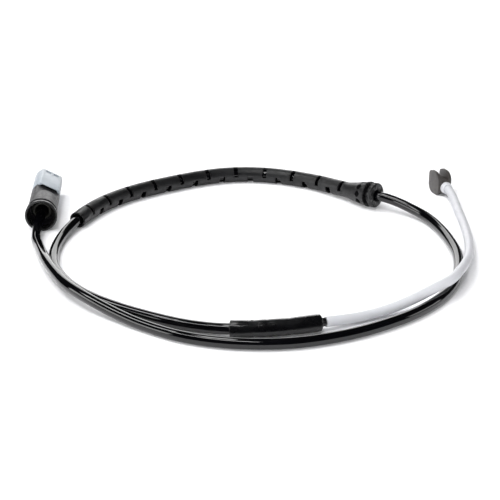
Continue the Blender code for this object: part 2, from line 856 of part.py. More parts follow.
def make_head(look, parent):
    """Local X runs from one plate to the other, the lead leaves along -Y, Z is up."""
    half = PLATE_LENGTH / 2
    middle = HEAD_WIDTH / 2
    low_boss = BOSS_CENTRE_HEIGHT - BOSS_HEIGHT / 2
    overlap = PLATE_THICKNESS / 2
    bore_end = LEAD_BORE_DEPTH - BOSS_FRONT
    wire = LOOP_WIRE_DIAMETER / 2
    pocket_end = bore_end + LOOP_LEG + LOOP_RADIUS + wire + TOUCH_GAP
    made = solid(
        "sensor_head",
        lambda bm: rounded_block(
            bm, (0.0, -half, 0.0), (PLATE_THICKNESS, half, PLATE_HEIGHT), 0, PLATE_CORNER
        ),
        look,
        parent,
    )
    shape(
        made,
        "head_far_plate",
        lambda bm: rounded_block(
            bm,
            (HEAD_WIDTH - PLATE_THICKNESS, -half, 0.0),
            (HEAD_WIDTH, half, PLATE_HEIGHT),
            0,
            PLATE_CORNER,
        ),
        "UNION",
    )
    shape(
        made,
        "head_boss",
        lambda bm: rounded_block(
            bm,
            (overlap, -BOSS_FRONT, low_boss),
            (HEAD_WIDTH - overlap, BOSS_BACK, low_boss + BOSS_HEIGHT),
            0,
            BOSS_CORNER,
        ),
        "UNION",
    )

    def bore(bm):
        verts = add_rod(bm, LEAD_RADIUS + TOUCH_GAP, -bore_end, BOSS_FRONT + CUT_MARGIN)
        bmesh.ops.rotate(bm, verts=verts, matrix=Matrix.Rotation(math.pi / 2, 3, "X"))
        bmesh.ops.translate(bm, verts=verts, vec=(middle, 0.0, BOSS_CENTRE_HEIGHT))

    def pocket(bm):
        side = LOOP_RADIUS + wire + TOUCH_GAP
        tall = wire + TOUCH_GAP
        add_box(
            bm,
            (middle - side, bore_end - TOUCH_GAP, BOSS_CENTRE_HEIGHT - tall),
            (middle + side, pocket_end, BOSS_CENTRE_HEIGHT + tall),
        )

    shape(made, "head_lead_bore", bore)
    shape(made, "head_loop_pocket", pocket)


def make_wear_loop(look, parent):
    """A bare wire loop that the brake disc cuts through when the pad is worn."""
    middle = HEAD_WIDTH / 2
    start = LEAD_BORE_DEPTH - BOSS_FRONT
    points = [(middle - LOOP_RADIUS, start)]
    for k in range(9):
        angle = math.pi * (1 - k / 8)
        x = middle + LOOP_RADIUS * math.cos(angle)
        points.append((x, start + LOOP_LEG + LOOP_RADIUS * math.sin(angle)))
    points.append((middle + LOOP_RADIUS, start))
    tube(
        "wear_loop",
        [Vector((x, y, BOSS_CENTRE_HEIGHT)) for x, y in points],
        LOOP_WIRE_DIAMETER / 2,
        THIN_BEVEL_STEPS,
        look,
        parent,
    )


def make_lead_collar(look, parent):
    """The bead where the lead leaves the head's boss."""
    high = -TOUCH_GAP
    low = high - COLLAR_LENGTH
    bore = LEAD_RADIUS + TOUCH_GAP
    outer = bore + COLLAR_WALL
    made = turned(
        "lead_collar",
        [
            (bore, high),
            (outer, high),
            (outer, low + COLLAR_EDGE),
            (outer - SOFT_EDGE, low),
            (bore, low),
        ],
        look,
        parent,
        SPLICE_STEPS,
    )
    made.location = (HEAD_WIDTH / 2, -BOSS_FRONT, BOSS_CENTRE_HEIGHT)
    made.rotation_euler = (-math.pi / 2, 0.0, 0.0)


def plug_frame():
    """Plug axes: local Z runs from the cable side to the pins, local X is up."""
    along = Vector((-math.sin(PLUG_YAW), math.cos(PLUG_YAW), 0.0))
    axes = Matrix((UP, along.cross(UP), along)).transposed()
    return Matrix.Translation((*PLUG_PLACE, CAP_RADIUS)) @ axes.to_4x4()


def head_frame():
    return Matrix.Translation((*HEAD_PLACE, 0.0)) @ Matrix.Rotation(HEAD_YAW, 4, "Z")


def harness_route(plug, head):
    """One smooth route from the cable's end in the plug to the lead's end in the head."""
    lying = CABLE_RADIUS + FLOOR_GAP
    points = []
    for height in (CABLE_END, BUSH_START + BUSH_LENGTH / 2, BUSH_START):
        points.append(plug @ Vector((0.0, 0.0, height)))
    points += [Vector((x, y, lying + rise)) for x, y, rise in FIRST_LAP]
    grommet = len(points)
    points += [Vector((x, y, SLEEVE_RADIUS + rise)) for x, y, rise in SLEEVE_STRETCH]
    points += [Vector((x, y, lying + rise)) for x, y, rise in SECOND_LAP]
    splice = len(points)
    points += [Vector((x, y, SPLICE_RADIUS)) for x, y in SPLICE_STRETCH]
    lying = LEAD_RADIUS + FLOOR_GAP
    points += [Vector((x, y, lying + rise)) for x, y, rise in LEAD_STRETCH]
    lead_end = LEAD_BORE_DEPTH - BOSS_FRONT - TOUCH_GAP
    collar_end = -BOSS_FRONT - 2 * TOUCH_GAP - COLLAR_LENGTH
    for y in (collar_end, (collar_end + lead_end) / 2, lead_end):
        points.append(head @ Vector((HEAD_WIDTH / 2, y, BOSS_CENTRE_HEIGHT)))
    route = Route(points)
    return route, route.distance_at(grommet), route.distance_at(splice)


def stand_on_origin(root, cords):
    """Moves the whole part so that the box around its rigid pieces stands on the origin."""
    bpy.context.view_layer.update()
    graph = bpy.context.evaluated_depsgraph_get()
    places = []
    for obj in bpy.data.collections[PIECES].objects:
        if obj.type == "EMPTY" or obj in cords:
            continue
        shown = obj.evaluated_get(graph)
        places += [shown.matrix_world @ vert.co for vert in shown.to_mesh().vertices]
        shown.to_mesh_clear()
    low = Vector([min(place[k] for place in places) for k in range(3)])
    high = Vector([max(place[k] for place in places) for k in range(3)])
    root.location = (-(low.x + high.x) / 2, -(low.y + high.y) / 2, -low.z)


def main():
    clear_scene()
    black_cable = material("black_cable", (0.012, 0.012, 0.014), 0.22)
    rubber = material("black_rubber", (0.022, 0.022, 0.026), 0.60)
    body_plastic = material("black_plastic", (0.030, 0.030, 0.032), 0.32)
    light_plastic = material("light_plastic", (0.610, 0.650, 0.680), 0.40)
    light_cable = material("light_grey_cable", (0.640, 0.650, 0.660), 0.48)
    head_plastic = material("head_plastic", (0.040, 0.038, 0.036), 0.45)
    seal_rubber = material("seal_rubber", (0.010, 0.010, 0.010), 0.70)
    tin = material("tinned_copper", (0.720, 0.700, 0.660), 0.30, 1.0)
    brown_core = material("brown_core", (0.160, 0.065, 0.030), 0.45)
    white_core = material("white_core", (0.700, 0.690, 0.660), 0.45)
    shrink = material("shrink_tube", (0.016, 0.016, 0.018), 0.50)

    root = empty("sensor_origin", Matrix.Identity(4))
    plug = empty("plug_axis", plug_frame(), root)
    head = empty("head_corner", head_frame(), root)
    route, grommet, splice = harness_route(plug_frame(), head_frame())

    make_end_cap(body_plastic, plug)
    make_seal_ring(seal_rubber, plug)
    make_plug_body(body_plastic, plug)
    make_cable_bush(rubber, plug)
    make_housing(light_plastic, plug)
    make_contact_lock(body_plastic, plug)
    make_contacts(tin, plug)
    make_plug_cores((brown_core, white_core), plug)

    make_bend_sleeve(rubber, root, route, grommet)
    looks = {
        "shrink": shrink,
        "tin": tin,
        "cores": (brown_core, white_core),
        "lead_core": white_core,
    }
    make_splice(looks, root, route, splice)

    make_head(head_plastic, head)
    make_wear_loop(tin, head)
    make_lead_collar(light_cable, head)

    cable = tube(
        "main_cable",
        route.stretch(0.0, splice + CABLE_IN_SPLICE, COARSE_STEP),
        CABLE_RADIUS,
        CABLE_BEVEL_STEPS,
        black_cable,
        root,
    )
    lead_start = splice + SPLICE_LENGTH + NECK_LENGTH + TOUCH_GAP
    lead = tube(
        "sensor_lead",
        route.stretch(lead_start, route.length, LEAD_STEP),
        LEAD_RADIUS,
        CABLE_BEVEL_STEPS,
        light_cable,
        root,
    )
    stand_on_origin(root, (cable, lead))


main()
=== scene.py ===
"""The looks of a brake pad wear sensor, laid out as an add-on and run as a script.

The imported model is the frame: every piece is made in metres, where the model has it. The cables,
the rubber sleeve, the splice, the plug's shells and the sensing head are modelled again, finer,
and the small parts inside them keep their solids and get finishes.
"""

import math
from bisect import bisect_right

import bpy
from bpy.props import FloatProperty, FloatVectorProperty, IntProperty, PointerProperty
from mathutils import Matrix, Vector


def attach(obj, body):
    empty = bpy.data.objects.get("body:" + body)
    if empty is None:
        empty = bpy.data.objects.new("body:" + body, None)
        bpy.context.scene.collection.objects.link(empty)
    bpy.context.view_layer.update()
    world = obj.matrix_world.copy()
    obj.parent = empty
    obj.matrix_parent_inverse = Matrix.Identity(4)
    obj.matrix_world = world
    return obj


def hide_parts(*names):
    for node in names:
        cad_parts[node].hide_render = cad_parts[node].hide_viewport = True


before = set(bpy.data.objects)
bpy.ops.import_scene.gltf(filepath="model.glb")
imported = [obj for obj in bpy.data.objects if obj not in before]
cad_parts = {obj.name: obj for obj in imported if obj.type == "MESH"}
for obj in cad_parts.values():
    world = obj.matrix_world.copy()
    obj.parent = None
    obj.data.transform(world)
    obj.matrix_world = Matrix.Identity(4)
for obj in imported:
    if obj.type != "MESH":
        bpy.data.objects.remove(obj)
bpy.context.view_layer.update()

bl_info = {
    "name": "Brake Pad Wear Sensor",
    "version": (1, 0, 0),
    "blender": (4, 5, 0),
    "location": "3D View > Sidebar > Wear Sensor",
    "description": "Models a coiled brake pad wear sensor around its packed frame",
    "category": "Object",
}

MM = 0.001
BODY = "root"
UP = Vector((0.0, 0.0, 1.0))
TOUCH_GAP = 0.3 * MM  # between two pieces that touch
FLOOR_GAP = 0.1 * MM  # under a cable that lies on the surface
CUT_MARGIN = 1.0 * MM  # how far a cutter runs past the face it opens
COLLAR_EDGE = 0.5 * MM  # bevel of the grommet's collar
CONE_EDGE = 0.25 * MM  # bevel of the grommet's cone at its wide end
CORD_STEP = 1.5 * MM  # between two points of a cord
GUIDE_STEP = 0.5 * MM  # between two points of the line that a piece is bent along
SNOUT_RIB = 1.2 * MM  # from one rib of the bush's snout to the next
BEAD_GAP = 0.03 * MM  # between the lead and the bead on it
SHRINKAGE_LENGTH = 36.0 * MM  # of the splice sleeve whose shrinkage is listed below

# Fitted to the photograph
CAMERA_LENS = 97.6
CAMERA_PLACE = (0.003136, -0.569036, 0.229015)
CAMERA_PITCH = math.radians(68.0)

# The whole part is moved by this much, so that it stands on its origin
LAYOUT_SHIFT = Vector((0.003136, -0.003036, 0.000015))
PLUG_PLACE = Vector((-0.0972, 0.0244, 0.0))
PLUG_YAW = math.radians(3.8)
KEY_ANGLE = math.radians(27.8)  # the plug's flats face this far from straight up
KEY_TURN = Matrix.Rotation(KEY_ANGLE, 4, "X")
HEAD_PLACE = Vector((0.0921, 0.0771, 0.0))
HEAD_YAW = math.radians(22.0)

# The lists from here on are in millimetres.
# Route of the cable from the plug to the grommet: x, y and the rise above lying flat
FIRST_LAP = [
    (-97.8, 28.5, 4.2),
    (-98.2, 22.0, 2.5),
    (-98.0, 15.0, 0.9),
    (-97.2, 7.5, 0.1),
    (-94.8, -1.0, 0.5),
    (-91.6, -13.0, 2.0),
    (-88.2, -24.6, 3.3),
    (-83.0, -38.0, 3.8),
    (-76.0, -52.0, 3.7),
    (-66.5, -63.5, 2.9),
    (-54.5, -74.2, 1.2),
    (-42.0, -84.0, 0.1),
    (-27.0, -93.7, 0.0),
    (-11.5, -99.0, 0.0),
    (4.5, -100.6, 0.0),
    (20.0, -98.9, 0.0),
    (36.6, -93.0, 0.0),
    (51.0, -84.7, 0.0),
    (65.0, -73.6, 0.0),
    (76.5, -60.4, 0.0),
    (84.8, -45.0, 0.0),
    (89.8, -28.0, 0.0),
    (91.8, -9.0, 0.0),
    (90.6, 8.0, 0.0),
    (88.0, 22.0, 0.2),
    (83.8, 33.8, 0.8),
    (77.0, 43.1, 2.0),
    (69.6, 49.3, 3.6),
]
# The sleeve's stretch, from the grommet's face to the mouth: x, y and the rise of the sleeve
SLEEVE_STRETCH = [
    (61.7, 54.3, 3.1),
    (51.7, 64.1, 1.7),
    (42.6, 73.7, 0.8),
    (33.6, 82.2, 0.2),
    (22.7, 88.9, 0.0),
    (10.5, 93.6, 0.0),
    (-1.8, 95.4, 0.0),
    (-14.1, 93.9, 0.0),
    (-26.3, 89.0, 0.0),
    (-38.2, 82.0, 0.0),
    (-49.9, 74.0, 0.0),
    (-60.5, 64.6, 0.0),
    (-69.6, 53.4, 0.0),
    (-76.2, 41.3, 0.0),
    (-81.0, 28.7, 0.0),
]
# From the sleeve's mouth to the splice: x, y and the rise above lying flat
SECOND_LAP = [
    (-84.9, 16.0, 0.5),
    (-86.8, 4.0, 0.0),
    (-87.0, -8.0, 0.0),
    (-85.2, -22.0, 0.0),
    (-80.2, -35.5, 0.0),
    (-72.8, -48.0, 0.0),
    (-63.5, -58.5, 0.0),
    (-52.0, -68.0, 0.0),
    (-39.2, -76.3, 0.0),
    (-27.3, -82.6, 0.0),
    (-16.5, -87.0, 0.4),
]
# The splice's stretch: x, y
SPLICE_STRETCH = [
    (-7.7, -89.6),
    (4.0, -89.2),
    (16.0, -87.2),
    (27.8, -83.7),
]
# Distance along the splice sleeve, and how far it has shrunk below its full radius
SHRINKAGE = [
    (0.0, 0.12),
    (0.35, 0.0),
    (4.0, 0.03),
    (8.2, 0.1),
    (9.2, 0.2),
    (10.6, 0.12),
    (12.0, 0.02),
    (13.6, 0.0),
    (14.6, 0.13),
    (15.6, 0.02),
    (18.0, 0.0),
    (21.0, 0.05),
    (23.4, 0.16),
    (25.5, 0.06),
    (28.0, 0.0),
    (32.0, 0.0),
    (35.2, 0.03),
    (35.7, 0.12),
    (36.0, 0.45),
]
# The light lead, with the long low hump that carries it over the cable: x, y and the rise
LEAD_STRETCH = [
    (36.5, -79.7, 0.6),
    (44.5, -75.5, 0.0),
    (53.0, -71.0, 0.3),
    (61.5, -66.4, 1.4),
    (69.5, -61.8, 3.2),
    (77.2, -56.4, 4.9),
    (83.4, -50.2, 5.3),
    (88.0, -41.3, 5.2),
    (91.7, -32.0, 4.5),
    (94.8, -21.5, 3.3),
    (97.4, -8.0, 1.8),
    (99.2, 6.0, 0.7),
    (100.1, 20.0, 0.0),
    (100.3, 34.0, 0.0),
    (100.2, 46.5, 0.1),
    (100.1, 56.0, 0.6),
    (99.7, 64.0, 1.4),
]


def linear(code):
    """The linear colour of an sRGB hex value."""
    parts = [int(code[k : k + 2], 16) / 255 for k in (1, 3, 5)]
    return tuple(c / 12.92 if c <= 0.04045 else ((c + 0.055) / 1.055) ** 2.4 for c in parts)


def length(name, millimetres, description):
    """A size that a user may change, in metres."""
    return FloatProperty(
        name=name,
        description=description,
        default=millimetres * MM,
        min=0.0,
        precision=5,
        subtype="DISTANCE",
        unit="LENGTH",
    )


def colour(name, code, description):
    return FloatVectorProperty(
        name=name, description=description, default=linear(code), subtype="COLOR", min=0.0, max=1.0
    )


class HarnessSizes(bpy.types.PropertyGroup):
    """Sizes of the cables, the sleeve and the splice."""

    cable: length("Cable", 4.6, "Diameter of the black cable")
    lead: length("Lead", 4.1, "Diameter of the light lead")
    sleeve_radius: length("Sleeve radius", 3.8, "Outer radius of the bend sleeve")
    sleeve_bore: length("Sleeve bore", 3.05, "Radius of the sleeve's bore")
    sleeve_length: length("Sleeve length", 168.6, "From the grommet's cone to the mouth")
    slot_step: length("Slot step", 7.8, "From one slot to the next, on the other side")
    slot_width: length("Slot width", 2.2, "Width of each slot")
    slot_past_top: length("Slot past top", 0.5, "How far a slot runs past the sleeve's top")
    slot_low: length("Slot depth", 0.4, "How far the upper slots run below the sleeve's middle")
    low_slot: length("Low slot width", 3.1, "Width of each slot on the underside")
    low_slot_top: length("Low slot top", 0.4, "How far the lower slots run above the middle")
    first_slot: length("First slot", 10.0, "From the mouth to the middle of the first slot")
    collar_radius: length("Collar radius", 6.0, "Outer radius of the grommet's collar")
    collar: length("Collar", 2.4, "Thickness of the grommet's collar")
    groove_radius: length("Groove radius", 4.0, "Radius at the bottom of the grommet's groove")
    groove: length("Groove", 1.8, "Width of the groove that a panel sits in")
    cone_radius: length("Cone radius", 6.2, "Radius of the grommet's cone at its wide end")
    cone: length("Cone", 14.6, "Length of the grommet's cone")
    dimple: length("Dimple", 3.0, "Width of a dimple in the cone")
    dimple_depth: length("Dimple depth", 1.3, "Depth of a dimple in the cone")
    dimple_setback: length("Dimple setback", 4.0, "From the cone's wide end to the dimples")
    dimples: IntProperty(name="Dimples", description="Dimples around the cone", default=9, min=0)
    splice_radius: length("Splice radius", 3.5, "Outer radius of the splice sleeve")
    splice: length("Splice length", 36.0, "Length of the splice sleeve without its neck")
    neck_radius: length("Neck radius", 1.75, "Radius of the splice's neck")
    neck: length("Neck", 2.0, "Length of the splice's neck")
    cable_in_splice: length("Cable in splice", 8.0, "How far the cable runs into the splice")


class PlugSizes(bpy.types.PropertyGroup):
    """Sizes of the plug, measured along its axis from the cable side."""

    flange_radius: length("Flange radius", 7.5, "Radius of the end cap's flange")
    flange: length("Flange", 1.2, "Thickness of the flange")
    skirt: length("Skirt", 2.8, "Length of the end cap's skirt")
    skirt_wall: length("Skirt wall", 0.5, "Wall of the end cap's skirt")
    cap_mouth: length("Cap mouth", 6.6, "Radius of the end cap's mouth")
    cup_radius: length("Cup radius", 6.0, "Radius of the cup that the cable runs into")
    cup_depth: length("Cup depth", 10.0, "Depth of that cup")
    seal: length("Seal", 2.0, "Width of the seal ring behind the flange")
    seal_radius: length("Seal radius", 7.0, "Outer radius of the seal ring")
    body_mouth: length("Body mouth", 7.3, "Radius of the body where it flares to the seal")
    body_radius: length("Body radius", 6.8, "Radius of the body")
    flare_end: length("Flare end", 7.0, "Where the body's flare ends")
    body_end: length("Body end", 28.0, "Where the body ends and its nose starts")
    body_flat: length("Body flat", 3.75, "Distance of the body's flat from the axis")
    body_flat_length: length("Body flat length", 11.0, "Length of the body's flat")
    bush_radius: length("Bush radius", 5.2, "Radius of the rubber bush around the cable")
    bush: length("Bush", 5.7, "Length of the rubber bush")
    chamber: length("Chamber", 3.4, "Radius of the room for the cores")
    nose_radius: length("Nose radius", 5.6, "Radius of the body's nose in the housing")
    nose: length("Nose", 5.0, "Length of the body's nose")
    cable_in: length("Cable in chamber", 1.7, "How far the cable runs past its bush")
    housing_radius: length("Housing radius", 6.85, "Radius of the light housing")
    housing: length("Housing", 21.7, "Length of the light housing")
    housing_flat: length("Housing flat", 5.0, "Distance of the housing's flat from the axis")
    lip: length("Lip", 0.35, "Wall over the slit that the body's flat leaves open")
    socket_radius: length("Socket radius", 5.6, "Radius of the mating socket")
    socket_flat: length("Socket flat", 4.1, "Distance of the socket's flat from the axis")
    socket_depth: length("Socket depth", 12.0, "Depth of the mating socket")
    latch_width: length("Latch width", 2.6, "Width of a latch pocket")
    latch_spacing: length("Latch spacing", 4.0, "Distance between the latch pockets")
    latch: length("Latch", 3.0, "Length of a latch pocket")
    latch_depth: length("Latch depth", 0.5, "Depth of a latch pocket")
    latch_setback: length("Latch setback", 1.2, "From the rim to the latch pockets")
    lock: length("Contact lock", 1.7, "Thickness of the contact lock")
    contact_spacing: length("Contact spacing", 4.0, "Distance between the contacts")
    pin_hole: length("Pin hole", 1.8, "Diameter of the holes that the pins pass through")


class HeadSizes(bpy.types.PropertyGroup):
    """Sizes of the sensing head, from plate to plate."""

    plate: length("Plate length", 9.8, "Length of a plate along the lead")
    plate_height: length("Plate height", 11.4, "Height of a plate")
    thickness: length("Plate thickness", 1.5, "Thickness of a plate")
    corner: length("Plate corner", 2.4, "Corner radius of a plate at its back top")
    slanted_corner: length("Slanted corner", 4.4, "Corner radius of a plate at its front top")
    groove: length("Groove", 4.3, "Distance between the plates")
    boss_proud: length("Boss proud", 0.4, "How far the boss stands past the plates' front edges")
    boss_back: length("Boss back", 3.8, "How far the boss runs behind the plates' middle")
    boss_height: length("Boss height", 6.2, "Height of the boss")
    boss_centre: length("Boss centre", 4.4, "Height of the lead's axis in the head")
    boss_corner: length("Boss corner", 0.8, "Corner radius of the boss")
    bore_depth: length("Bore depth", 5.0, "Depth of the bore that holds the lead")
    loop_wire: length("Loop wire", 0.9, "Diameter of the wear loop's wire")
    loop_radius: length("Loop radius", 0.75, "Radius of the wear loop's bend")
    loop_leg: length("Loop leg", 1.9, "Length of the wear loop's legs")
    collar: length("Lead collar", 2.6, "Length of the bead on the lead")
    collar_wall: length("Lead collar wall", 0.55, "Wall of the bead on the lead")


class SensorColours(bpy.types.PropertyGroup):
    """Colours of the finishes."""

    cable: colour("Cable", "#020203", "Black cable jacket")
    sleeve: colour("Sleeve", "#09090A", "Moulded rubber of the bend sleeve")
    shrink: colour("Shrink tube", "#040405", "Splice sleeve")
    lead: colour("Lead", "#B6B7BB", "Light lead jacket")
    body: colour("Body", "#151416", "Plug body")
    cap: colour("Cap", "#0C0C0C", "Plug end cap")
    housing: colour("Housing", "#979EA5", "Plug housing")
    head: colour("Head", "#2B2826", "Sensing head")
    tin: colour("Tin", "#C9C5BC", "Tinned contacts")


class Route:
    """A smooth curve through given points, measured by distance along it."""

    def __init__(self, points, pieces=24):
        ends = [2 * points[0] - points[1], *points, 2 * points[-1] - points[-2]]
        self.pieces = pieces
        self.places = []
        for a, b, c, d in zip(ends, ends[1:], ends[2:], ends[3:]):
            for piece in range(pieces):
                u = piece / pieces
                bend = (2 * a - 5 * b + 4 * c - d) * u**2 + (3 * b - a - 3 * c + d) * u**3
                self.places.append(0.5 * (2 * b + (c - a) * u + bend))
        self.places.append(points[-1])
        self.distances = [0.0]
        for a, b in zip(self.places, self.places[1:]):
            self.distances.append(self.distances[-1] + (b - a).length)
        self.length = self.distances[-1]

    def distance_at(self, index):
        return self.distances[index * self.pieces]

    def place(self, distance):
        last = len(self.places) - 1
        k = min(max(bisect_right(self.distances, distance), 1), last)
        span = self.distances[k] - self.distances[k - 1]
        return self.places[k - 1].lerp(self.places[k], (distance - self.distances[k - 1]) / span)

    def stretch(self, start, end, step):
        """Evenly spaced points from start to end."""
        count = max(2, round((end - start) / step))
        return [self.place(start + (end - start) * k / count) for k in range(count + 1)]


def axes_at(place, along):
    """A frame with X along the piece and Z as near to up as it goes."""
    left = UP.cross(along)
    turn = Matrix((along, left, along.cross(left))).transposed()
    return Matrix.Translation(place + LAYOUT_SHIFT) @ turn.to_4x4()


def plug_frame(plug):
    """X runs from the cable side to the pins."""
    along = Vector((-math.sin(PLUG_YAW), math.cos(PLUG_YAW), 0.0))
    return axes_at(PLUG_PLACE + plug.flange_radius * UP, along)


def head_frame():
    """X runs from the left plate to the right one, and the lead leaves along -Y."""
    return axes_at(HEAD_PLACE, Vector((math.cos(HEAD_YAW), math.sin(HEAD_YAW), 0.0)))


def head_width(head):
    return 2 * head.thickness + head.groove


def harness(settings):
    """The route from the cable's end in the plug to the lead's end in the head, with the distances
    of the grommet's face and of the splice along it."""
    sizes, plug, head = settings.harness, settings.plug, settings.head
    to_plug, to_head = plug_frame(plug), head_frame()
    bush_start = plug.cup_depth + TOUCH_GAP
    cable_end = bush_start + plug.bush + TOUCH_GAP + plug.cable_in
    lying = sizes.cable / 2 + FLOOR_GAP
    inside = (cable_end, bush_start + plug.bush / 2, bush_start)
    points = [to_plug @ Vector((x, 0.0, 0.0)) for x in inside]
    lists = [
        (FIRST_LAP, lying),
        (SLEEVE_STRETCH, sizes.sleeve_radius),
        (SECOND_LAP, lying),
        ([(x, y, 0.0) for x, y in SPLICE_STRETCH], sizes.splice_radius),
        (LEAD_STRETCH, sizes.lead / 2 + FLOOR_GAP),
    ]
    starts = []
    for stretch, height in lists:
        starts.append(len(points))
        for x, y, rise in stretch:
            points.append(Vector((x * MM, y * MM, height + rise * MM)) + LAYOUT_SHIFT)
    front = head.plate / 2 + head.boss_proud
    lead_end = head.bore_depth - front - TOUCH_GAP
    collar_end = -front - 2 * TOUCH_GAP - head.collar
    for y in (collar_end, (collar_end + lead_end) / 2, lead_end):
        points.append(to_head @ Vector((head_width(head) / 2, y, head.boss_centre)))
    route = Route(points)
    return {
        "route": route,
        "grommet": route.distance_at(starts[1]),
        "splice": route.distance_at(starts[3]),
    }


# Modelling helpers


def select_only(obj):
    bpy.ops.object.select_all(action="DESELECT")
    obj.select_set(True)
    bpy.context.view_layer.objects.active = obj


def named(name):
    """Names the piece that an operator has just added, and puts its place in its mesh."""
    made = bpy.context.active_object
    made.name = made.data.name = name
    select_only(made)
    bpy.ops.object.transform_apply(location=True, rotation=True, scale=True)
    return made


def turned(name, profile, steps=96):
    """A closed outline of (distance, radius) points turned about X: a circle is extruded and
    scaled from point to point, back to where it started."""
    bpy.ops.object.select_all(action="DESELECT")
    at, radius = profile[0]
    bpy.ops.mesh.primitive_circle_add(
        vertices=steps, radius=radius, location=(at, 0.0, 0.0), rotation=(0.0, math.pi / 2, 0.0)
    )
    made = named(name)
    bpy.ops.object.mode_set(mode="EDIT")
    bpy.ops.mesh.select_all(action="SELECT")
    for (x0, r0), (x1, r1) in zip(profile, [*profile[1:], profile[0]]):
        bpy.ops.mesh.extrude_edges_move(TRANSFORM_OT_translate={"value": (x1 - x0, 0.0, 0.0)})
        bpy.ops.transform.resize(value=(1.0, r1 / r0, r1 / r0), center_override=(x1, 0.0, 0.0))
    bpy.ops.mesh.select_all(action="SELECT")
    bpy.ops.mesh.remove_doubles(threshold=0.002 * MM)
    bpy.ops.mesh.normals_make_consistent(inside=False)
    bpy.ops.object.mode_set(mode="OBJECT")
    return made


def rod(name, low, high, radius, steps=96):
    """A round bar along X."""
    bpy.ops.object.select_all(action="DESELECT")
    bpy.ops.mesh.primitive_cylinder_add(
        vertices=steps,
        radius=radius,
        depth=high - low,
        location=((low + high) / 2, 0.0, 0.0),
        rotation=(0.0, math.pi / 2, 0.0),
    )
    return named(name)


def block(name, low, high):
    """A box between two corners."""
    low, high = Vector(low), Vector(high)
    bpy.ops.object.select_all(action="DESELECT")
    bpy.ops.mesh.primitive_cube_add(size=1.0, location=(low + high) / 2, scale=high - low)
    return named(name)


def rounded_plate(name, low, high, slanted, other, steps=10):
    """A box whose edges along X are rounded: first the two on the diagonal from the front's top
    to the back's bottom, with the slanted radius, and then the other two."""
    made = block(name, low, high)
    middle = (Vector(low) + Vector(high)) / 2
    for radius, sign in ((slanted, -1.0), (other, 1.0)):
        bpy.ops.object.mode_set(mode="EDIT")
        bpy.ops.mesh.select_mode(type="EDGE")
        bpy.ops.mesh.select_all(action="DESELECT")
        bpy.ops.object.mode_set(mode="OBJECT")
        mesh = made.data
        for edge in mesh.edges:
            a, b = (mesh.vertices[k].co for k in edge.vertices)
            off = (a + b) / 2 - middle
            corner = abs(abs(off.y) - high[1] + middle.y) + abs(abs(off.z) - high[2] + middle.z)
            lengthwise = abs(b.x - a.x) > 0.5 * (b - a).length
            edge.select = lengthwise and corner < 0.01 * MM and off.y * off.z * sign > 0.0
        bpy.ops.object.mode_set(mode="EDIT")
        bpy.ops.mesh.bevel(offset=radius, segments=steps, profile=0.5)
        bpy.ops.mesh.select_mode(type="VERT")
        bpy.ops.object.mode_set(mode="OBJECT")
    return made


def apply_modifier(obj, kind, **settings):
    modifier = obj.modifiers.new(kind.title(), kind)
    for name, value in settings.items():
        setattr(modifier, name, value)
    select_only(obj)
    bpy.ops.object.modifier_apply(modifier=modifier.name)


def combine(obj, other, operation="DIFFERENCE"):
    """Cuts another mesh out of obj, or joins it on, and removes it."""
    apply_modifier(obj, "BOOLEAN", operation=operation, solver="EXACT", object=other)
    bpy.data.objects.remove(other)


def joined(objects):
    bpy.ops.object.select_all(action="DESELECT")
    for obj in objects:
        obj.select_set(True)
    bpy.context.view_layer.objects.active = objects[0]
    bpy.ops.object.join()
    return objects[0]


def soften(obj, width, segments=3, angle=30.0):
    """Rounds the sharp edges of a moulding and shades the rest smooth."""
    apply_modifier(
        obj,
        "BEVEL",
        width=width,
        segments=segments,
        limit_method="ANGLE",
        angle_limit=math.radians(angle),
    )
    select_only(obj)
    bpy.ops.object.shade_smooth_by_angle(angle=math.radians(angle))


def set_in(obj, place):
    """Moves a piece from where it was modelled to its place, and applies the move."""
    obj.matrix_world = place
    select_only(obj)
    bpy.ops.object.transform_apply(location=True, rotation=True, scale=True)


def dot(name, place, scale, rotation=(0.0, 0.0, 0.0)):
    """A ball with its own half axes, to press into a piece."""
    bpy.ops.object.select_all(action="DESELECT")
    bpy.ops.mesh.primitive_uv_sphere_add(
        segments=24, ring_count=12, radius=1.0, location=place, rotation=rotation, scale=scale
    )
    return named(name)


def dress(obj, material):
    obj.data.materials.clear()
    obj.data.materials.append(material)


def finish_piece(obj, material, node):
    """Dresses a piece, lets it ride, and hides the node that it stands for."""
    dress(obj, material)
    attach(obj, BODY)
    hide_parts(node)


def put_in_place(obj, place, edge, finish, node, segments=3):
    """Rounds the edges of a finished moulding, moves it to its place and dresses it."""
    soften(obj, edge * MM, segments)
    set_in(obj, place)
    finish_piece(obj, finish, node)


def guide_curve(name, points, radius=0.0):
    """A curve of one open spline through the points, held upright along its whole run."""
    curve = bpy.data.curves.new(name, "CURVE")
    curve.dimensions = "3D"
    curve.twist_mode = "Z_UP"
    curve.bevel_depth = radius
    curve.bevel_resolution = 9
    curve.use_fill_caps = True
    spline = curve.splines.new("POLY")
    spline.points.add(len(points) - 1)
    for target, point in zip(spline.points, points):
        target.co = (*point, 1.0)
    spline.use_smooth = True
    made = bpy.data.objects.new(name, curve)
    bpy.context.scene.collection.objects.link(made)
    return made


def bend_along(obj, route, start, reach):
    """Bends a piece that was modelled along X, with Z up, so that it follows the route."""
    guide = guide_curve(f"{obj.name}_guide", route.stretch(start, start + reach, GUIDE_STEP))
    apply_modifier(obj, "CURVE", object=guide, deform_axis="POS_X")
    bpy.data.objects.remove(guide)


def lay_cord(name, route, start, end, diameter, finish, slot, node):
    """A cord along a stretch of the route."""
    cord = guide_curve(name, route.stretch(start, end, CORD_STEP), diameter / 2)
    finish_piece(cord, finish, node)
    route.place(start)


# Finishes


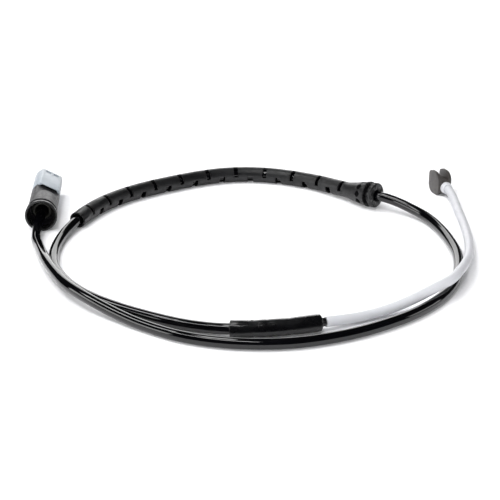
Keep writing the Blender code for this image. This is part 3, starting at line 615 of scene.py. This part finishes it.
def add_node(tree, kind, inputs=(), **settings):
    """Adds a node with its settings; an input is a value or another node's output."""
    made = tree.nodes.new(kind)
    for name, value in settings.items():
        setattr(made, name, value)
    for socket, value in dict(inputs).items():
        if isinstance(value, bpy.types.NodeSocket):
            tree.links.new(value, made.inputs[socket])
        else:
            made.inputs[socket].default_value = value
    return made


def per_metre(millimetres):
    """The scale of a noise whose features are about this many millimetres across."""
    return 1.0 / (millimetres * MM)


def start_finish(name, constants):
    """A new material, its tree and its shader, with the constants on the shader's own sockets."""
    made = bpy.data.materials.new(name)
    made.use_nodes = True
    shader = made.node_tree.nodes["Principled BSDF"]
    for socket, value in constants.items():
        shader.inputs[socket].default_value = value
    return made, made.node_tree, shader


def speckle(tree, size, detail=2.0, contrast=(0.3, 0.7), stretch=None):
    """A noise of that many millimetres in object space, spread to 0 and 1."""
    place = add_node(tree, "ShaderNodeTexCoord").outputs["Object"]
    if stretch is not None:
        mapping = add_node(tree, "ShaderNodeMapping", {"Vector": place, "Scale": stretch})
        place = mapping.outputs["Vector"]
    settings = {"Vector": place, "Scale": per_metre(size), "Detail": detail, "Roughness": 0.55}
    noise = add_node(tree, "ShaderNodeTexNoise", settings)
    low, high = contrast
    settings = {"Value": noise.outputs["Fac"], "From Min": low, "From Max": high}
    spread = add_node(tree, "ShaderNodeMapRange", settings, interpolation_type="SMOOTHSTEP")
    return spread.outputs["Result"]


def mixed(tree, factor, low, high):
    """A colour between two, by a factor."""
    inputs = {0: factor, 6: (*low, 1.0), 7: (*high, 1.0)}
    return add_node(tree, "ShaderNodeMix", inputs, data_type="RGBA").outputs[2]


def between(tree, factor, low, high):
    """A number between two, by a factor."""
    spread = add_node(tree, "ShaderNodeMapRange", {"Value": factor, "To Min": low, "To Max": high})
    return spread.outputs["Result"]


def relief(tree, layers):
    """Bumps on top of each other: (height, depth in millimetres) each."""
    normal = None
    for height, depth in layers:
        inputs = {"Height": height, "Distance": depth * MM, "Strength": 1.0}
        if normal is not None:
            inputs["Normal"] = normal
        normal = add_node(tree, "ShaderNodeBump", inputs).outputs["Normal"]
    return normal


def lighter(shade, factor):
    return tuple(min(1.0, c * factor) for c in shade)


def patterned(name, constants, shade, clouds, gloss, bumps):
    """A finish whose colour, roughness and skin follow noises, each given as speckle takes it.
    Clouds are a noise and the factor of the second shade, gloss is a noise and two roughnesses,
    and bumps are pairs of a noise and its depth in millimetres."""
    made, tree, shader = start_finish(name, constants)
    noise, factor = clouds
    base = mixed(tree, speckle(tree, *noise), shade, lighter(shade, factor))
    noise, smooth, rough = gloss
    roughness = between(tree, speckle(tree, *noise), smooth, rough)
    normal = relief(tree, [(speckle(tree, *noise), depth) for noise, depth in bumps])
    for socket, source in (("Base Color", base), ("Roughness", roughness), ("Normal", normal)):
        tree.links.new(source, shader.inputs[socket])
    return made


def extruded_pvc(shade):
    """Soft PVC jacket, drawn smooth through a die: near black, wet-looking, with a faint waviness
    that makes its long highlights waver, and smudges where it was handled."""
    return patterned(
        "extruded_black_pvc",
        {"IOR": 1.53},
        shade,
        clouds=((14.0,), 1.7),
        gloss=((5.0, 3.0, (0.45, 0.75)), 0.055, 0.16),
        bumps=(((8.0, 1.0, (0.0, 1.0)), 0.05), ((0.9,), 0.0006)),
    )


def moulded_rubber(shade):
    """EPDM rubber from a spark-eroded mould: dull charcoal, cloudy with a dry bloom and finely
    grained. The grain is drawn about twice its real 0.1 mm to show."""
    return patterned(
        "moulded_epdm_rubber",
        {"IOR": 1.47},
        shade,
        clouds=((7.0, 4.0), 1.9),
        gloss=((3.0, 3.0), 0.36, 0.56),
        bumps=(((2.4,), 0.02), ((0.22,), 0.014)),
    )


def shrunk_tube(shade):
    """Polyolefin shrink tube with hot-melt lining: satin black, drawn tight in shallow ripples."""
    return patterned(
        "shrunk_polyolefin_tube",
        {"IOR": 1.5},
        shade,
        clouds=((6.0,), 1.6),
        gloss=((5.0,), 0.2, 0.34),
        bumps=(((4.0, 1.0, (0.2, 0.8)), 0.07), ((0.5,), 0.001)),
    )


def moulded_filled(name, ior, shade, roughness):
    """Glass-filled nylon or PPS, injection moulded: dark, satin, with the cloudy skin that the
    fibres leave and a fine grain from the mould, drawn coarser than its real 0.05 mm to show."""
    return patterned(
        name,
        {"IOR": ior},
        shade,
        clouds=((3.0, 4.0), 1.5),
        gloss=((1.6, 3.0), roughness - 0.06, roughness + 0.08),
        bumps=(((3.0,), 0.012), ((0.16,), 0.006)),
    )


def moulded_pbt(shade):
    """Light grey PBT, injection moulded: a cool pale satin with faint flow clouds near the gate."""
    return patterned(
        "moulded_grey_pbt",
        {
            "IOR": 1.55,
            "Subsurface Weight": 0.08,
            "Subsurface Radius": (0.6 * MM, 0.6 * MM, 0.7 * MM),
            "Subsurface Scale": 1.0,
        },
        shade,
        clouds=((6.0, 3.0), 0.9),
        gloss=((2.0, 3.0), 0.34, 0.46),
        bumps=(((0.18,), 0.004),),
    )


def extruded_pur(shade):
    """Polyurethane lead jacket: light grey, dry to the touch, almost without gloss, lit from
    within, with the slightly uneven skin of a thick extrusion and a little handling grime."""
    return patterned(
        "extruded_grey_pur",
        {
            "IOR": 1.5,
            "Subsurface Weight": 0.5,
            "Subsurface Radius": (2.0 * MM, 2.0 * MM, 2.1 * MM),
            "Subsurface Scale": 1.0,
        },
        shade,
        clouds=((9.0, 4.0, (0.5, 0.8)), 0.86),
        gloss=((2.5, 3.0), 0.4, 0.54),
        bumps=(((3.5,), 0.02), ((0.25,), 0.006)),
    )


def tinned_brass(shade):
    """Stamped brass with a reflowed tin coat: pale, warm silver, with faint drawing lines."""
    lines = (0.12, 2.0, (0.3, 0.7), (1.0, 0.08, 1.0))
    return patterned(
        "tinned_brass",
        {"Metallic": 1.0},
        shade,
        clouds=((1.2, 3.0), 0.8),
        gloss=(lines, 0.2, 0.36),
        bumps=((lines, 0.003),),
    )


def core_insulation(name, shade):
    """Extruded polyethylene over a stranded core: a waxy satin that follows the strands."""
    return patterned(
        name,
        {"IOR": 1.5},
        shade,
        clouds=((1.5, 3.0), 0.82),
        gloss=((0.8,), 0.32, 0.46),
        bumps=(((0.5,), 0.008),),
    )


def silicone_seal(shade):
    """Moulded silicone: dead black, slightly greasy, without visible grain."""
    return patterned(
        "moulded_silicone",
        {"IOR": 1.41},
        shade,
        clouds=((2.0, 3.0), 1.6),
        gloss=((1.0, 3.0), 0.42, 0.6),
        bumps=(((0.6,), 0.006),),
    )


FINISHES = {}


def shared(maker, *settings):
    """One finish, made once: two pieces that are the same stuff share their material."""
    key = (maker.__name__, *(s if isinstance(s, (str, float)) else tuple(s) for s in settings))
    if key not in FINISHES:
        FINISHES[key] = maker(*settings)
    return FINISHES[key]


# Operators


class SENSOR_OT_stage(bpy.types.Operator):
    """Set up the camera, the white sweep that the sensor lies on and the studio lights"""

    bl_idname = "sensor.stage"
    bl_label = "Stage"

    def light(self, name, place, aim, size, radiance, glossy):
        """An area light of that radiance; glossy says whether it shows in reflections."""
        lamp = bpy.data.lights.new(name, "AREA")
        lamp.shape = "RECTANGLE"
        lamp.size, lamp.size_y = size
        lamp.energy = radiance * math.pi * size[0] * size[1]
        made = bpy.data.objects.new(name, lamp)
        bpy.context.scene.collection.objects.link(made)
        made.location = place
        made.rotation_euler = (Vector(aim) - Vector(place)).to_track_quat("-Z", "Y").to_euler()
        made.visible_glossy = glossy
        made.visible_camera = False
        return made

    def execute(self, context):
        scene = context.scene
        scene.view_settings.view_transform = "Standard"
        lens = bpy.data.cameras.new("camera")
        lens.lens = CAMERA_LENS
        lens.clip_start = 0.02
        camera = bpy.data.objects.new("camera", lens)
        camera.location = CAMERA_PLACE
        camera.rotation_euler = (CAMERA_PITCH, 0.0, 0.0)
        scene.collection.objects.link(camera)
        scene.camera = camera

        bpy.ops.object.select_all(action="DESELECT")
        bpy.ops.mesh.primitive_plane_add(size=6.0, location=(0.0, 0.0, 0.0))
        floor = named("white_sweep")
        paper, tree, shader = start_finish(
            "matt_paper", {"IOR": 1.5, "Roughness": 0.9, "Specular IOR Level": 0.0}
        )
        fibre = mixed(tree, speckle(tree, 1.5, 3.0), linear("#F4F4F6"), linear("#F0F0F2"))
        tree.links.new(fibre, shader.inputs["Base Color"])
        floor.data.materials.append(paper)

        world = bpy.data.worlds.new("dim_studio")
        world.use_nodes = True
        background = world.node_tree.nodes["Background"]
        background.inputs["Color"].default_value = (1.0, 1.0, 1.0, 1.0)
        background.inputs["Strength"].default_value = 0.02
        scene.world = world

        middle = (0.0, 0.0, 0.0)
        # The fills lift the shadows, and the boxes are what the glossy pieces mirror
        for lamp in (
            ("overhead_fill", (-0.3, 0.1, 1.6), middle, (2.6, 2.6), 1.45, False),
            ("front_fill", (-0.1, -1.8, 0.5), middle, (2.4, 0.9), 6.5, False),
            ("back_sweep", (-0.15, 1.3, 0.38), (-0.1, 0.0, 0.1), (0.9, 0.76), 2.8, True),
            ("plug_softbox", (-0.2, 0.12, 1.0), (-0.2, 0.12, 0.0), (0.2, 0.35), 8.5, True),
            ("left_softbox", (-1.3, -0.25, 0.36), middle, (1.0, 0.5), 4.2, True),
            ("right_softbox", (1.3, 0.1, 0.3), middle, (0.6, 0.3), 2.6, True),
            ("high_softbox", (-0.68, 0.2, 0.97), middle, (0.22, 0.4), 9.0, True),
        ):
            self.light(*lamp)
        strip = self.light("front_strip", (-0.365, -0.365, 1.0), middle, (0.06, 0.95), 24.0, True)
        strip.rotation_euler = (0.0, 0.0, math.radians(52.0))
        return {"FINISHED"}


class SENSOR_OT_main_cable(bpy.types.Operator):
    """Lay the black cable from the plug through the sleeve to the splice"""

    bl_idname = "sensor.main_cable"
    bl_label = "Main cable"

    def execute(self, context):
        settings = context.scene.wear_sensor
        sizes = settings.harness
        lay = harness(settings)
        end = lay["splice"] + sizes.cable_in_splice
        pvc = shared(extruded_pvc, settings.colours.cable)
        names = ("black_cable_jacket", "main_cable")
        lay_cord("black_cable", lay["route"], 0.0, end, sizes.cable, pvc, *names)
        return {"FINISHED"}


class SENSOR_OT_sensor_lead(bpy.types.Operator):
    """Lay the light lead from the splice over the cable to the sensing head"""

    bl_idname = "sensor.sensor_lead"
    bl_label = "Sensor lead"

    def execute(self, context):
        settings = context.scene.wear_sensor
        sizes = settings.harness
        lay = harness(settings)
        route = lay["route"]
        start = lay["splice"] + sizes.splice + sizes.neck + TOUCH_GAP
        pur = shared(extruded_pur, settings.colours.lead)
        names = ("light_lead_jacket", "sensor_lead")
        lay_cord("grey_lead", route, start, route.length, sizes.lead, pur, *names)
        return {"FINISHED"}


class SENSOR_OT_bend_sleeve(bpy.types.Operator):
    """Mould the slotted sleeve with its grommet, and bend it over the cable"""

    bl_idname = "sensor.bend_sleeve"
    bl_label = "Bend sleeve and grommet"

    def taper(self, sizes):
        return (sizes.cone_radius - sizes.sleeve_radius) / sizes.cone

    def profile(self, sizes, slots, end):
        """The outline of the grommet and the sleeve, with rings where the sleeve bends."""
        groove_end = sizes.collar + sizes.groove
        grommet = groove_end + sizes.cone
        taper = self.taper(sizes)
        shoulders = (-0.5, -0.35, -0.2, 0.0, 0.2, 0.35)
        rings = sorted(slot + share * sizes.slot_step for slot in slots for share in shoulders)
        rings = [ring for ring in rings if grommet + 0.8 * MM < ring < end - 1.0 * MM]
        cone = [groove_end + sizes.cone * share for share in (0.15, 0.3, 0.45, 0.6, 0.8)]
        outer = [
            (0.0, sizes.collar_radius - COLLAR_EDGE),
            (COLLAR_EDGE, sizes.collar_radius),
            (sizes.collar - COLLAR_EDGE, sizes.collar_radius),
            (sizes.collar, sizes.collar_radius - COLLAR_EDGE),
            (sizes.collar, sizes.groove_radius),
            (groove_end, sizes.groove_radius),
            (groove_end, sizes.cone_radius - CONE_EDGE),
            (groove_end + CONE_EDGE, sizes.cone_radius),
        ]
        outer += [(x, sizes.cone_radius - taper * (x - groove_end)) for x in cone]
        outer += [(x, sizes.sleeve_radius) for x in (grommet, *rings, end)]
        back = [end, *reversed(rings), grommet, *reversed(cone), groove_end, 0.0]
        return outer + [(x, sizes.sleeve_bore) for x in back]

    def slot_cutters(self, sizes, slots, grommet):
        """Blocks that open the slots, from above and from below by turns."""
        reach = 2 * sizes.sleeve_radius
        cutters = []
        for number, slot in enumerate(slots):
            if number % 2 == 0:
                low, high, half = -sizes.slot_low, reach, sizes.slot_width / 2
            else:
                low, high, half = -reach, sizes.low_slot_top, sizes.low_slot / 2
            if slot - sizes.slot_width / 2 >= grommet:
                corner = (slot - half, -sizes.slot_past_top, low)
                cutters.append(block("slot", corner, (slot + half, reach, high)))
        return cutters

    def dimple_cutters(self, sizes):
        taper = self.taper(sizes)
        at = sizes.collar + sizes.groove + sizes.dimple_setback
        radius = sizes.cone_radius - taper * sizes.dimple_setback
        scale = (sizes.dimple / 2, sizes.dimple / 2, 1.8 * sizes.dimple_depth)
        cutters = []
        for number in range(sizes.dimples):
            angle = math.tau * number / sizes.dimples
            place = (at, -radius * math.sin(angle), radius * math.cos(angle))
            cutters.append(dot("dimple", place, scale, (angle, math.atan(taper), 0.0)))
        return cutters

    def execute(self, context):
        settings = context.scene.wear_sensor
        sizes = settings.harness
        lay = harness(settings)
        grommet = sizes.collar + sizes.groove + sizes.cone
        end = grommet + sizes.sleeve_length
        slots = []
        place = end - sizes.first_slot
        while place > grommet - sizes.slot_step / 4:
            slots.append(place)
            place -= sizes.slot_step
        sleeve = turned("slotted_sleeve", self.profile(sizes, slots, end), 64)
        cutters = self.slot_cutters(sizes, slots, grommet) + self.dimple_cutters(sizes)
        combine(sleeve, joined(cutters))
        soften(sleeve, 0.17 * MM, 2, 40.0)
        bend_along(sleeve, lay["route"], lay["grommet"], end)
        rubber = shared(moulded_rubber, settings.colours.sleeve)
        finish_piece(sleeve, rubber, "bend_sleeve")
        return {"FINISHED"}


class SENSOR_OT_splice_sleeve(bpy.types.Operator):
    """Shrink the tube over the splice, so that the crimps show through it"""

    bl_idname = "sensor.splice_sleeve"
    bl_label = "Splice sleeve"

    def execute(self, context):
        settings = context.scene.wear_sensor
        sizes = settings.harness
        lay = harness(settings)
        radius = sizes.splice_radius
        neck_end = sizes.splice + sizes.neck
        lead_bore = 1.35 * MM
        chamber = 2.85 * MM
        cable_bore = sizes.cable / 2 + TOUCH_GAP
        outline = [
            (x * MM * sizes.splice / SHRINKAGE_LENGTH, radius - dip * MM) for x, dip in SHRINKAGE
        ]
        outline += [
            (sizes.splice, sizes.neck_radius + 0.2 * MM),
            (sizes.splice + 0.3 * MM, sizes.neck_radius),
            (neck_end, sizes.neck_radius),
            (neck_end, lead_bore),
            (sizes.splice * 0.75, lead_bore),
        ]
        outline += [(sizes.splice * share, chamber) for share in (0.74, 0.6, 0.45, 0.34)]
        outline += [(sizes.cable_in_splice + TOUCH_GAP, cable_bore), (0.0, cable_bore)]
        tube = turned("shrink_tube", outline, 56)
        pinch = (8.6 * MM, 0.5 * MM, radius + 0.15 * MM)
        combine(tube, dot("pinch", pinch, (0.75 * MM, 0.75 * MM, 0.7 * MM)))
        soften(tube, 0.1 * MM, 2, 40.0)
        bend_along(tube, lay["route"], lay["splice"], neck_end)
        shrink = shared(shrunk_tube, settings.colours.shrink)
        finish_piece(tube, shrink, "splice_sleeve")
        return {"FINISHED"}


def key_cutter(plug, start, end, distance):
    """A block that cuts everything beyond a flat on the plug's keyed side."""
    reach = 3 * plug.flange_radius
    made = block("flat", (start, -reach, distance), (end, reach, reach))
    set_in(made, KEY_TURN)
    return made


def keyed_rod(plug, low, high, radius, flat):
    """A round bar with the plug's flat along it."""
    bar = rod("keyed_bar", low, high, radius)
    combine(bar, key_cutter(plug, low - CUT_MARGIN, high + CUT_MARGIN, flat))
    return bar


class SENSOR_OT_plug_shells(bpy.types.Operator):
    """Turn the plug's end cap, seal ring, body and cable bush"""

    bl_idname = "sensor.plug_shells"
    bl_label = "Plug cap, seal, body and bush"

    def end_cap(self, plug, cap_end, skirt):
        outline = [
            (0.0, plug.cap_mouth),
            (0.0, plug.flange_radius),
            (plug.flange, plug.flange_radius),
            (plug.flange, skirt),
            (cap_end, skirt),
            (cap_end, plug.cup_radius),
            (plug.flange, plug.cup_radius),
        ]
        return turned("end_cap", outline)

    def seal_ring(self, plug, seal_bore):
        start = plug.flange + TOUCH_GAP
        outline = [
            (start, seal_bore),
            (start, plug.seal_radius),
            (start + plug.seal, plug.seal_radius),
            (start + plug.seal, seal_bore),
        ]
        return turned("seal_ring", outline)

    def shell(self, plug, cap_end, seal_bore, bush_start):
        start = plug.flange + plug.seal + 2 * TOUCH_GAP
        nose_end = plug.body_end + plug.nose
        bush_seat = plug.bush_radius + TOUCH_GAP
        bush_end = bush_start + plug.bush + TOUCH_GAP
        outline = [
            (start, seal_bore),
            (start, plug.body_mouth),
            (start + 1.6 * MM, plug.body_mouth - 0.1 * MM),
            (plug.flare_end, plug.body_radius),
            (plug.body_end, plug.body_radius),
            (plug.body_end, plug.nose_radius),
            (nose_end, plug.nose_radius),
            (nose_end, plug.chamber),
            (bush_end, plug.chamber),
            (bush_end, bush_seat),
            (plug.cup_depth, bush_seat),
            (plug.cup_depth, plug.cup_radius),
            (cap_end + TOUCH_GAP, plug.cup_radius),
            (cap_end + TOUCH_GAP, seal_bore),
        ]
        body = turned("plug_shell", outline)
        flat_start = plug.body_end - plug.body_flat_length
        combine(body, key_cutter(plug, flat_start, nose_end + CUT_MARGIN, plug.body_flat))
        return body

    def bush(self, plug, cable_bore, start):
        """The bush, with a ribbed snout that reaches back into the cup."""
        end = start + plug.bush
        root, crest, tip = 3.6 * MM, 4.1 * MM, 3.3 * MM
        outline = [(end, cable_bore), (end, plug.bush_radius), (start, plug.bush_radius)]
        for rib in range(3):
            at = start - SNOUT_RIB * rib
            rise = at - SNOUT_RIB / 2
            snout_end = at - SNOUT_RIB
            outline += [(at, root), (rise, root), (rise, crest), (snout_end, crest)]
        outline += [(snout_end, tip), (start, cable_bore + 0.3 * MM)]
        return turned("ribbed_bush", outline, 64)

    def execute(self, context):
        settings = context.scene.wear_sensor
        plug, colours = settings.plug, settings.colours
        cap_end = plug.flange + plug.skirt
        skirt = plug.cup_radius + plug.skirt_wall
        seal_bore = skirt + TOUCH_GAP
        bush_start = plug.cup_depth + TOUCH_GAP
        cable_bore = settings.harness.cable / 2 + TOUCH_GAP
        cap_nylon = shared(moulded_filled, "black_nylon", 1.53, colours.cap, 0.24)
        body_nylon = shared(moulded_filled, "dark_nylon", 1.53, colours.body, 0.5)
        silicone = shared(silicone_seal, colours.cap)
        bush_rubber = shared(silicone_seal, linear("#1A1A17"))
        cap = self.end_cap(plug, cap_end, skirt)
        seal = self.seal_ring(plug, seal_bore)
        body = self.shell(plug, cap_end, seal_bore, bush_start)
        bush = self.bush(plug, cable_bore, bush_start)
        place = plug_frame(plug)
        put_in_place(cap, place, 0.12, cap_nylon, "plug_end_cap")
        put_in_place(seal, place, 0.1, silicone, "plug_seal_ring")
        put_in_place(body, place, 0.2, body_nylon, "plug_body")
        put_in_place(bush, place, 0.12, bush_rubber, "plug_cable_bush", 2)
        return {"FINISHED"}


class SENSOR_OT_plug_housing(bpy.types.Operator):
    """Mould the light housing with its keyed socket and latch pockets"""

    bl_idname = "sensor.plug_housing"
    bl_label = "Plug housing"

    def execute(self, context):
        settings = context.scene.wear_sensor
        plug = settings.plug
        start = plug.body_end + TOUCH_GAP
        end = start + plug.housing
        nose_end = plug.body_end + plug.nose
        wall = nose_end + 2 * TOUCH_GAP + plug.lock
        socket = end - plug.socket_depth
        rear_flat = plug.housing_flat - plug.lip
        rear_radius = plug.nose_radius + TOUCH_GAP
        housing = keyed_rod(plug, start, end, plug.housing_radius, plug.housing_flat)
        holes = [
            keyed_rod(plug, start - CUT_MARGIN, wall, rear_radius, rear_flat),
            keyed_rod(plug, socket, end + CUT_MARGIN, plug.socket_radius, plug.socket_flat),
        ]
        for side in (-1, 1):
            offset = Vector((0.0, side * plug.contact_spacing / 2, 0.0))
            hole = rod("pin_hole", wall - CUT_MARGIN, socket + CUT_MARGIN, plug.pin_hole / 2, 24)
            set_in(hole, KEY_TURN @ Matrix.Translation(offset))
            holes.append(hole)
        for hole in holes:
            combine(housing, hole)
        latch_end = end - plug.latch_setback
        for side in (-1, 1):
            middle = side * plug.latch_spacing / 2
            near, far = middle - plug.latch_width / 2, middle + plug.latch_width / 2
            pocket = block(
                "latch_pocket",
                (latch_end - plug.latch, near, plug.housing_flat - plug.latch_depth),
                (latch_end, far, plug.housing_flat + CUT_MARGIN),
            )
            set_in(pocket, KEY_TURN)
            combine(housing, pocket)
        pbt = shared(moulded_pbt, settings.colours.housing)
        put_in_place(housing, plug_frame(plug), 0.28, pbt, "plug_housing")
        return {"FINISHED"}


class SENSOR_OT_sensing_head(bpy.types.Operator):
    """Mould the head's plates and boss, and the bead where the lead leaves it"""

    bl_idname = "sensor.sensing_head"
    bl_label = "Sensing head and lead bead"

    def spool(self, head, width, to_bore, lead_bore):
        """Two plates joined by a boss, with the lead's bore and a pocket for the wear loop."""
        half = head.plate / 2
        plates = []
        for name, start in (("spool", 0.0), ("far_plate", width - head.thickness)):
            low = (start, -half, 0.0)
            high = (start + head.thickness, half, head.plate_height)
            plates.append(rounded_plate(name, low, high, head.slanted_corner, head.corner))
        spool, far = plates
        overlap = head.thickness / 2
        low_boss = head.boss_centre - head.boss_height / 2
        front = half + head.boss_proud
        boss = rounded_plate(
            "boss",
            (overlap, -front, low_boss),
            (width - overlap, head.boss_back, low_boss + head.boss_height),
            head.boss_corner,
            head.boss_corner,
            5,
        )
        combine(spool, far, "UNION")
        combine(spool, boss, "UNION")
        bore = rod("bore", -CUT_MARGIN, head.bore_depth, lead_bore, 48)
        set_in(bore, to_bore)
        combine(spool, bore)
        bore_end = head.bore_depth - front
        side = head.loop_radius + head.loop_wire / 2 + TOUCH_GAP
        tall = head.loop_wire / 2 + TOUCH_GAP
        pocket = block(
            "loop_pocket",
            (width / 2 - side, bore_end - TOUCH_GAP, head.boss_centre - tall),
            (width / 2 + side, bore_end + head.loop_leg + side, head.boss_centre + tall),
        )
        combine(spool, pocket)
        return spool

    def bead(self, head, lead_bore, snug):
        """The bead on the lead, with its far rim rounded."""
        near = -TOUCH_GAP
        far = near - head.collar
        outer = lead_bore + head.collar_wall
        outline = [
            (near, snug),
            (near, outer),
            (far + 0.9 * MM, outer),
            (far + 0.35 * MM, outer - 0.12 * MM),
            (far, outer - 0.5 * MM),
            (far, snug),
        ]
        return turned("lead_bead", outline, 64)

    def execute(self, context):
        settings = context.scene.wear_sensor
        head, colours = settings.head, settings.colours
        width = head_width(head)
        lead = settings.harness.lead / 2
        lead_bore = lead + TOUCH_GAP
        mouth = Matrix.Translation((width / 2, -head.plate / 2 - head.boss_proud, head.boss_centre))
        to_bore = mouth @ Matrix.Rotation(math.pi / 2, 4, "Z")
        spool = self.spool(head, width, to_bore, lead_bore)
        pps = shared(moulded_filled, "heat_resistant_pps", 1.8, colours.head, 0.5)
        put_in_place(spool, head_frame(), 0.22, pps, "sensor_head")
        bead = self.bead(head, lead_bore, lead + BEAD_GAP)
        pur = shared(extruded_pur, colours.lead)
        place = head_frame() @ to_bore
        put_in_place(bead, place, 0.1, pur, "lead_collar")
        return {"FINISHED"}


class SENSOR_OT_inner_parts(bpy.types.Operator):
    """Give the small parts inside the plug and the splice their finishes"""

    bl_idname = "sensor.inner_parts"
    bl_label = "Inner parts"

    def execute(self, context):
        colours = context.scene.wear_sensor.colours
        nylon = shared(moulded_filled, "black_nylon", 1.53, colours.cap, 0.24)
        tin = shared(tinned_brass, colours.tin)
        brown = shared(core_insulation, "brown_core_insulation", linear("#70462C"))
        white = shared(core_insulation, "white_core_insulation", linear("#D9D8D2"))
        dress(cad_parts["plug_contact_lock"], nylon)
        dress(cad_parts["wear_loop"], tin)
        for number in (1, 2):
            dress(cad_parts[f"plug_contact_{number}"], tin)
            dress(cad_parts[f"splice_crimp_{number}"], tin)
            dress(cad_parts[f"lead_core_{number}"], white)
        for place in ("plug", "splice"):
            dress(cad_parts[f"{place}_core_1"], brown)
            dress(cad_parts[f"{place}_core_2"], white)
        return {"FINISHED"}


class SensorSettings(bpy.types.PropertyGroup):
    """All that a user may change."""

    harness: PointerProperty(type=HarnessSizes, name="Harness", description="Cables and sleeve")
    plug: PointerProperty(type=PlugSizes, name="Plug", description="The round plug")
    head: PointerProperty(type=HeadSizes, name="Head", description="The sensing head")
    colours: PointerProperty(type=SensorColours, name="Colours", description="Colours")


OPERATORS = (
    SENSOR_OT_stage,
    SENSOR_OT_main_cable,
    SENSOR_OT_sensor_lead,
    SENSOR_OT_bend_sleeve,
    SENSOR_OT_splice_sleeve,
    SENSOR_OT_plug_shells,
    SENSOR_OT_plug_housing,
    SENSOR_OT_sensing_head,
    SENSOR_OT_inner_parts,
)


class SENSOR_PT_panel(bpy.types.Panel):
    """Lists the operators and the sizes"""

    bl_idname = "SENSOR_PT_panel"
    bl_label = "Wear sensor"
    bl_space_type = "VIEW_3D"
    bl_region_type = "UI"
    bl_category = "Wear Sensor"

    def draw(self, context):
        settings = context.scene.wear_sensor
        for operator in OPERATORS:
            self.layout.operator(operator.bl_idname)
        for group in (settings.harness, settings.plug, settings.head, settings.colours):
            box = self.layout.box()
            for name in group.__annotations__:
                box.prop(group, name)


CLASSES = (
    HarnessSizes,
    PlugSizes,
    HeadSizes,
    SensorColours,
    SensorSettings,
    *OPERATORS,
    SENSOR_PT_panel,
)


def register():
    for cls in CLASSES:
        bpy.utils.register_class(cls)
    bpy.types.Scene.wear_sensor = PointerProperty(type=SensorSettings)


def unregister():
    del bpy.types.Scene.wear_sensor
    for cls in reversed(CLASSES):
        bpy.utils.unregister_class(cls)


def main():
    register()
    for operator in OPERATORS:
        group, name = operator.bl_idname.split(".")
        getattr(getattr(bpy.ops, group), name)()


if __name__ == "__main__":
    main()
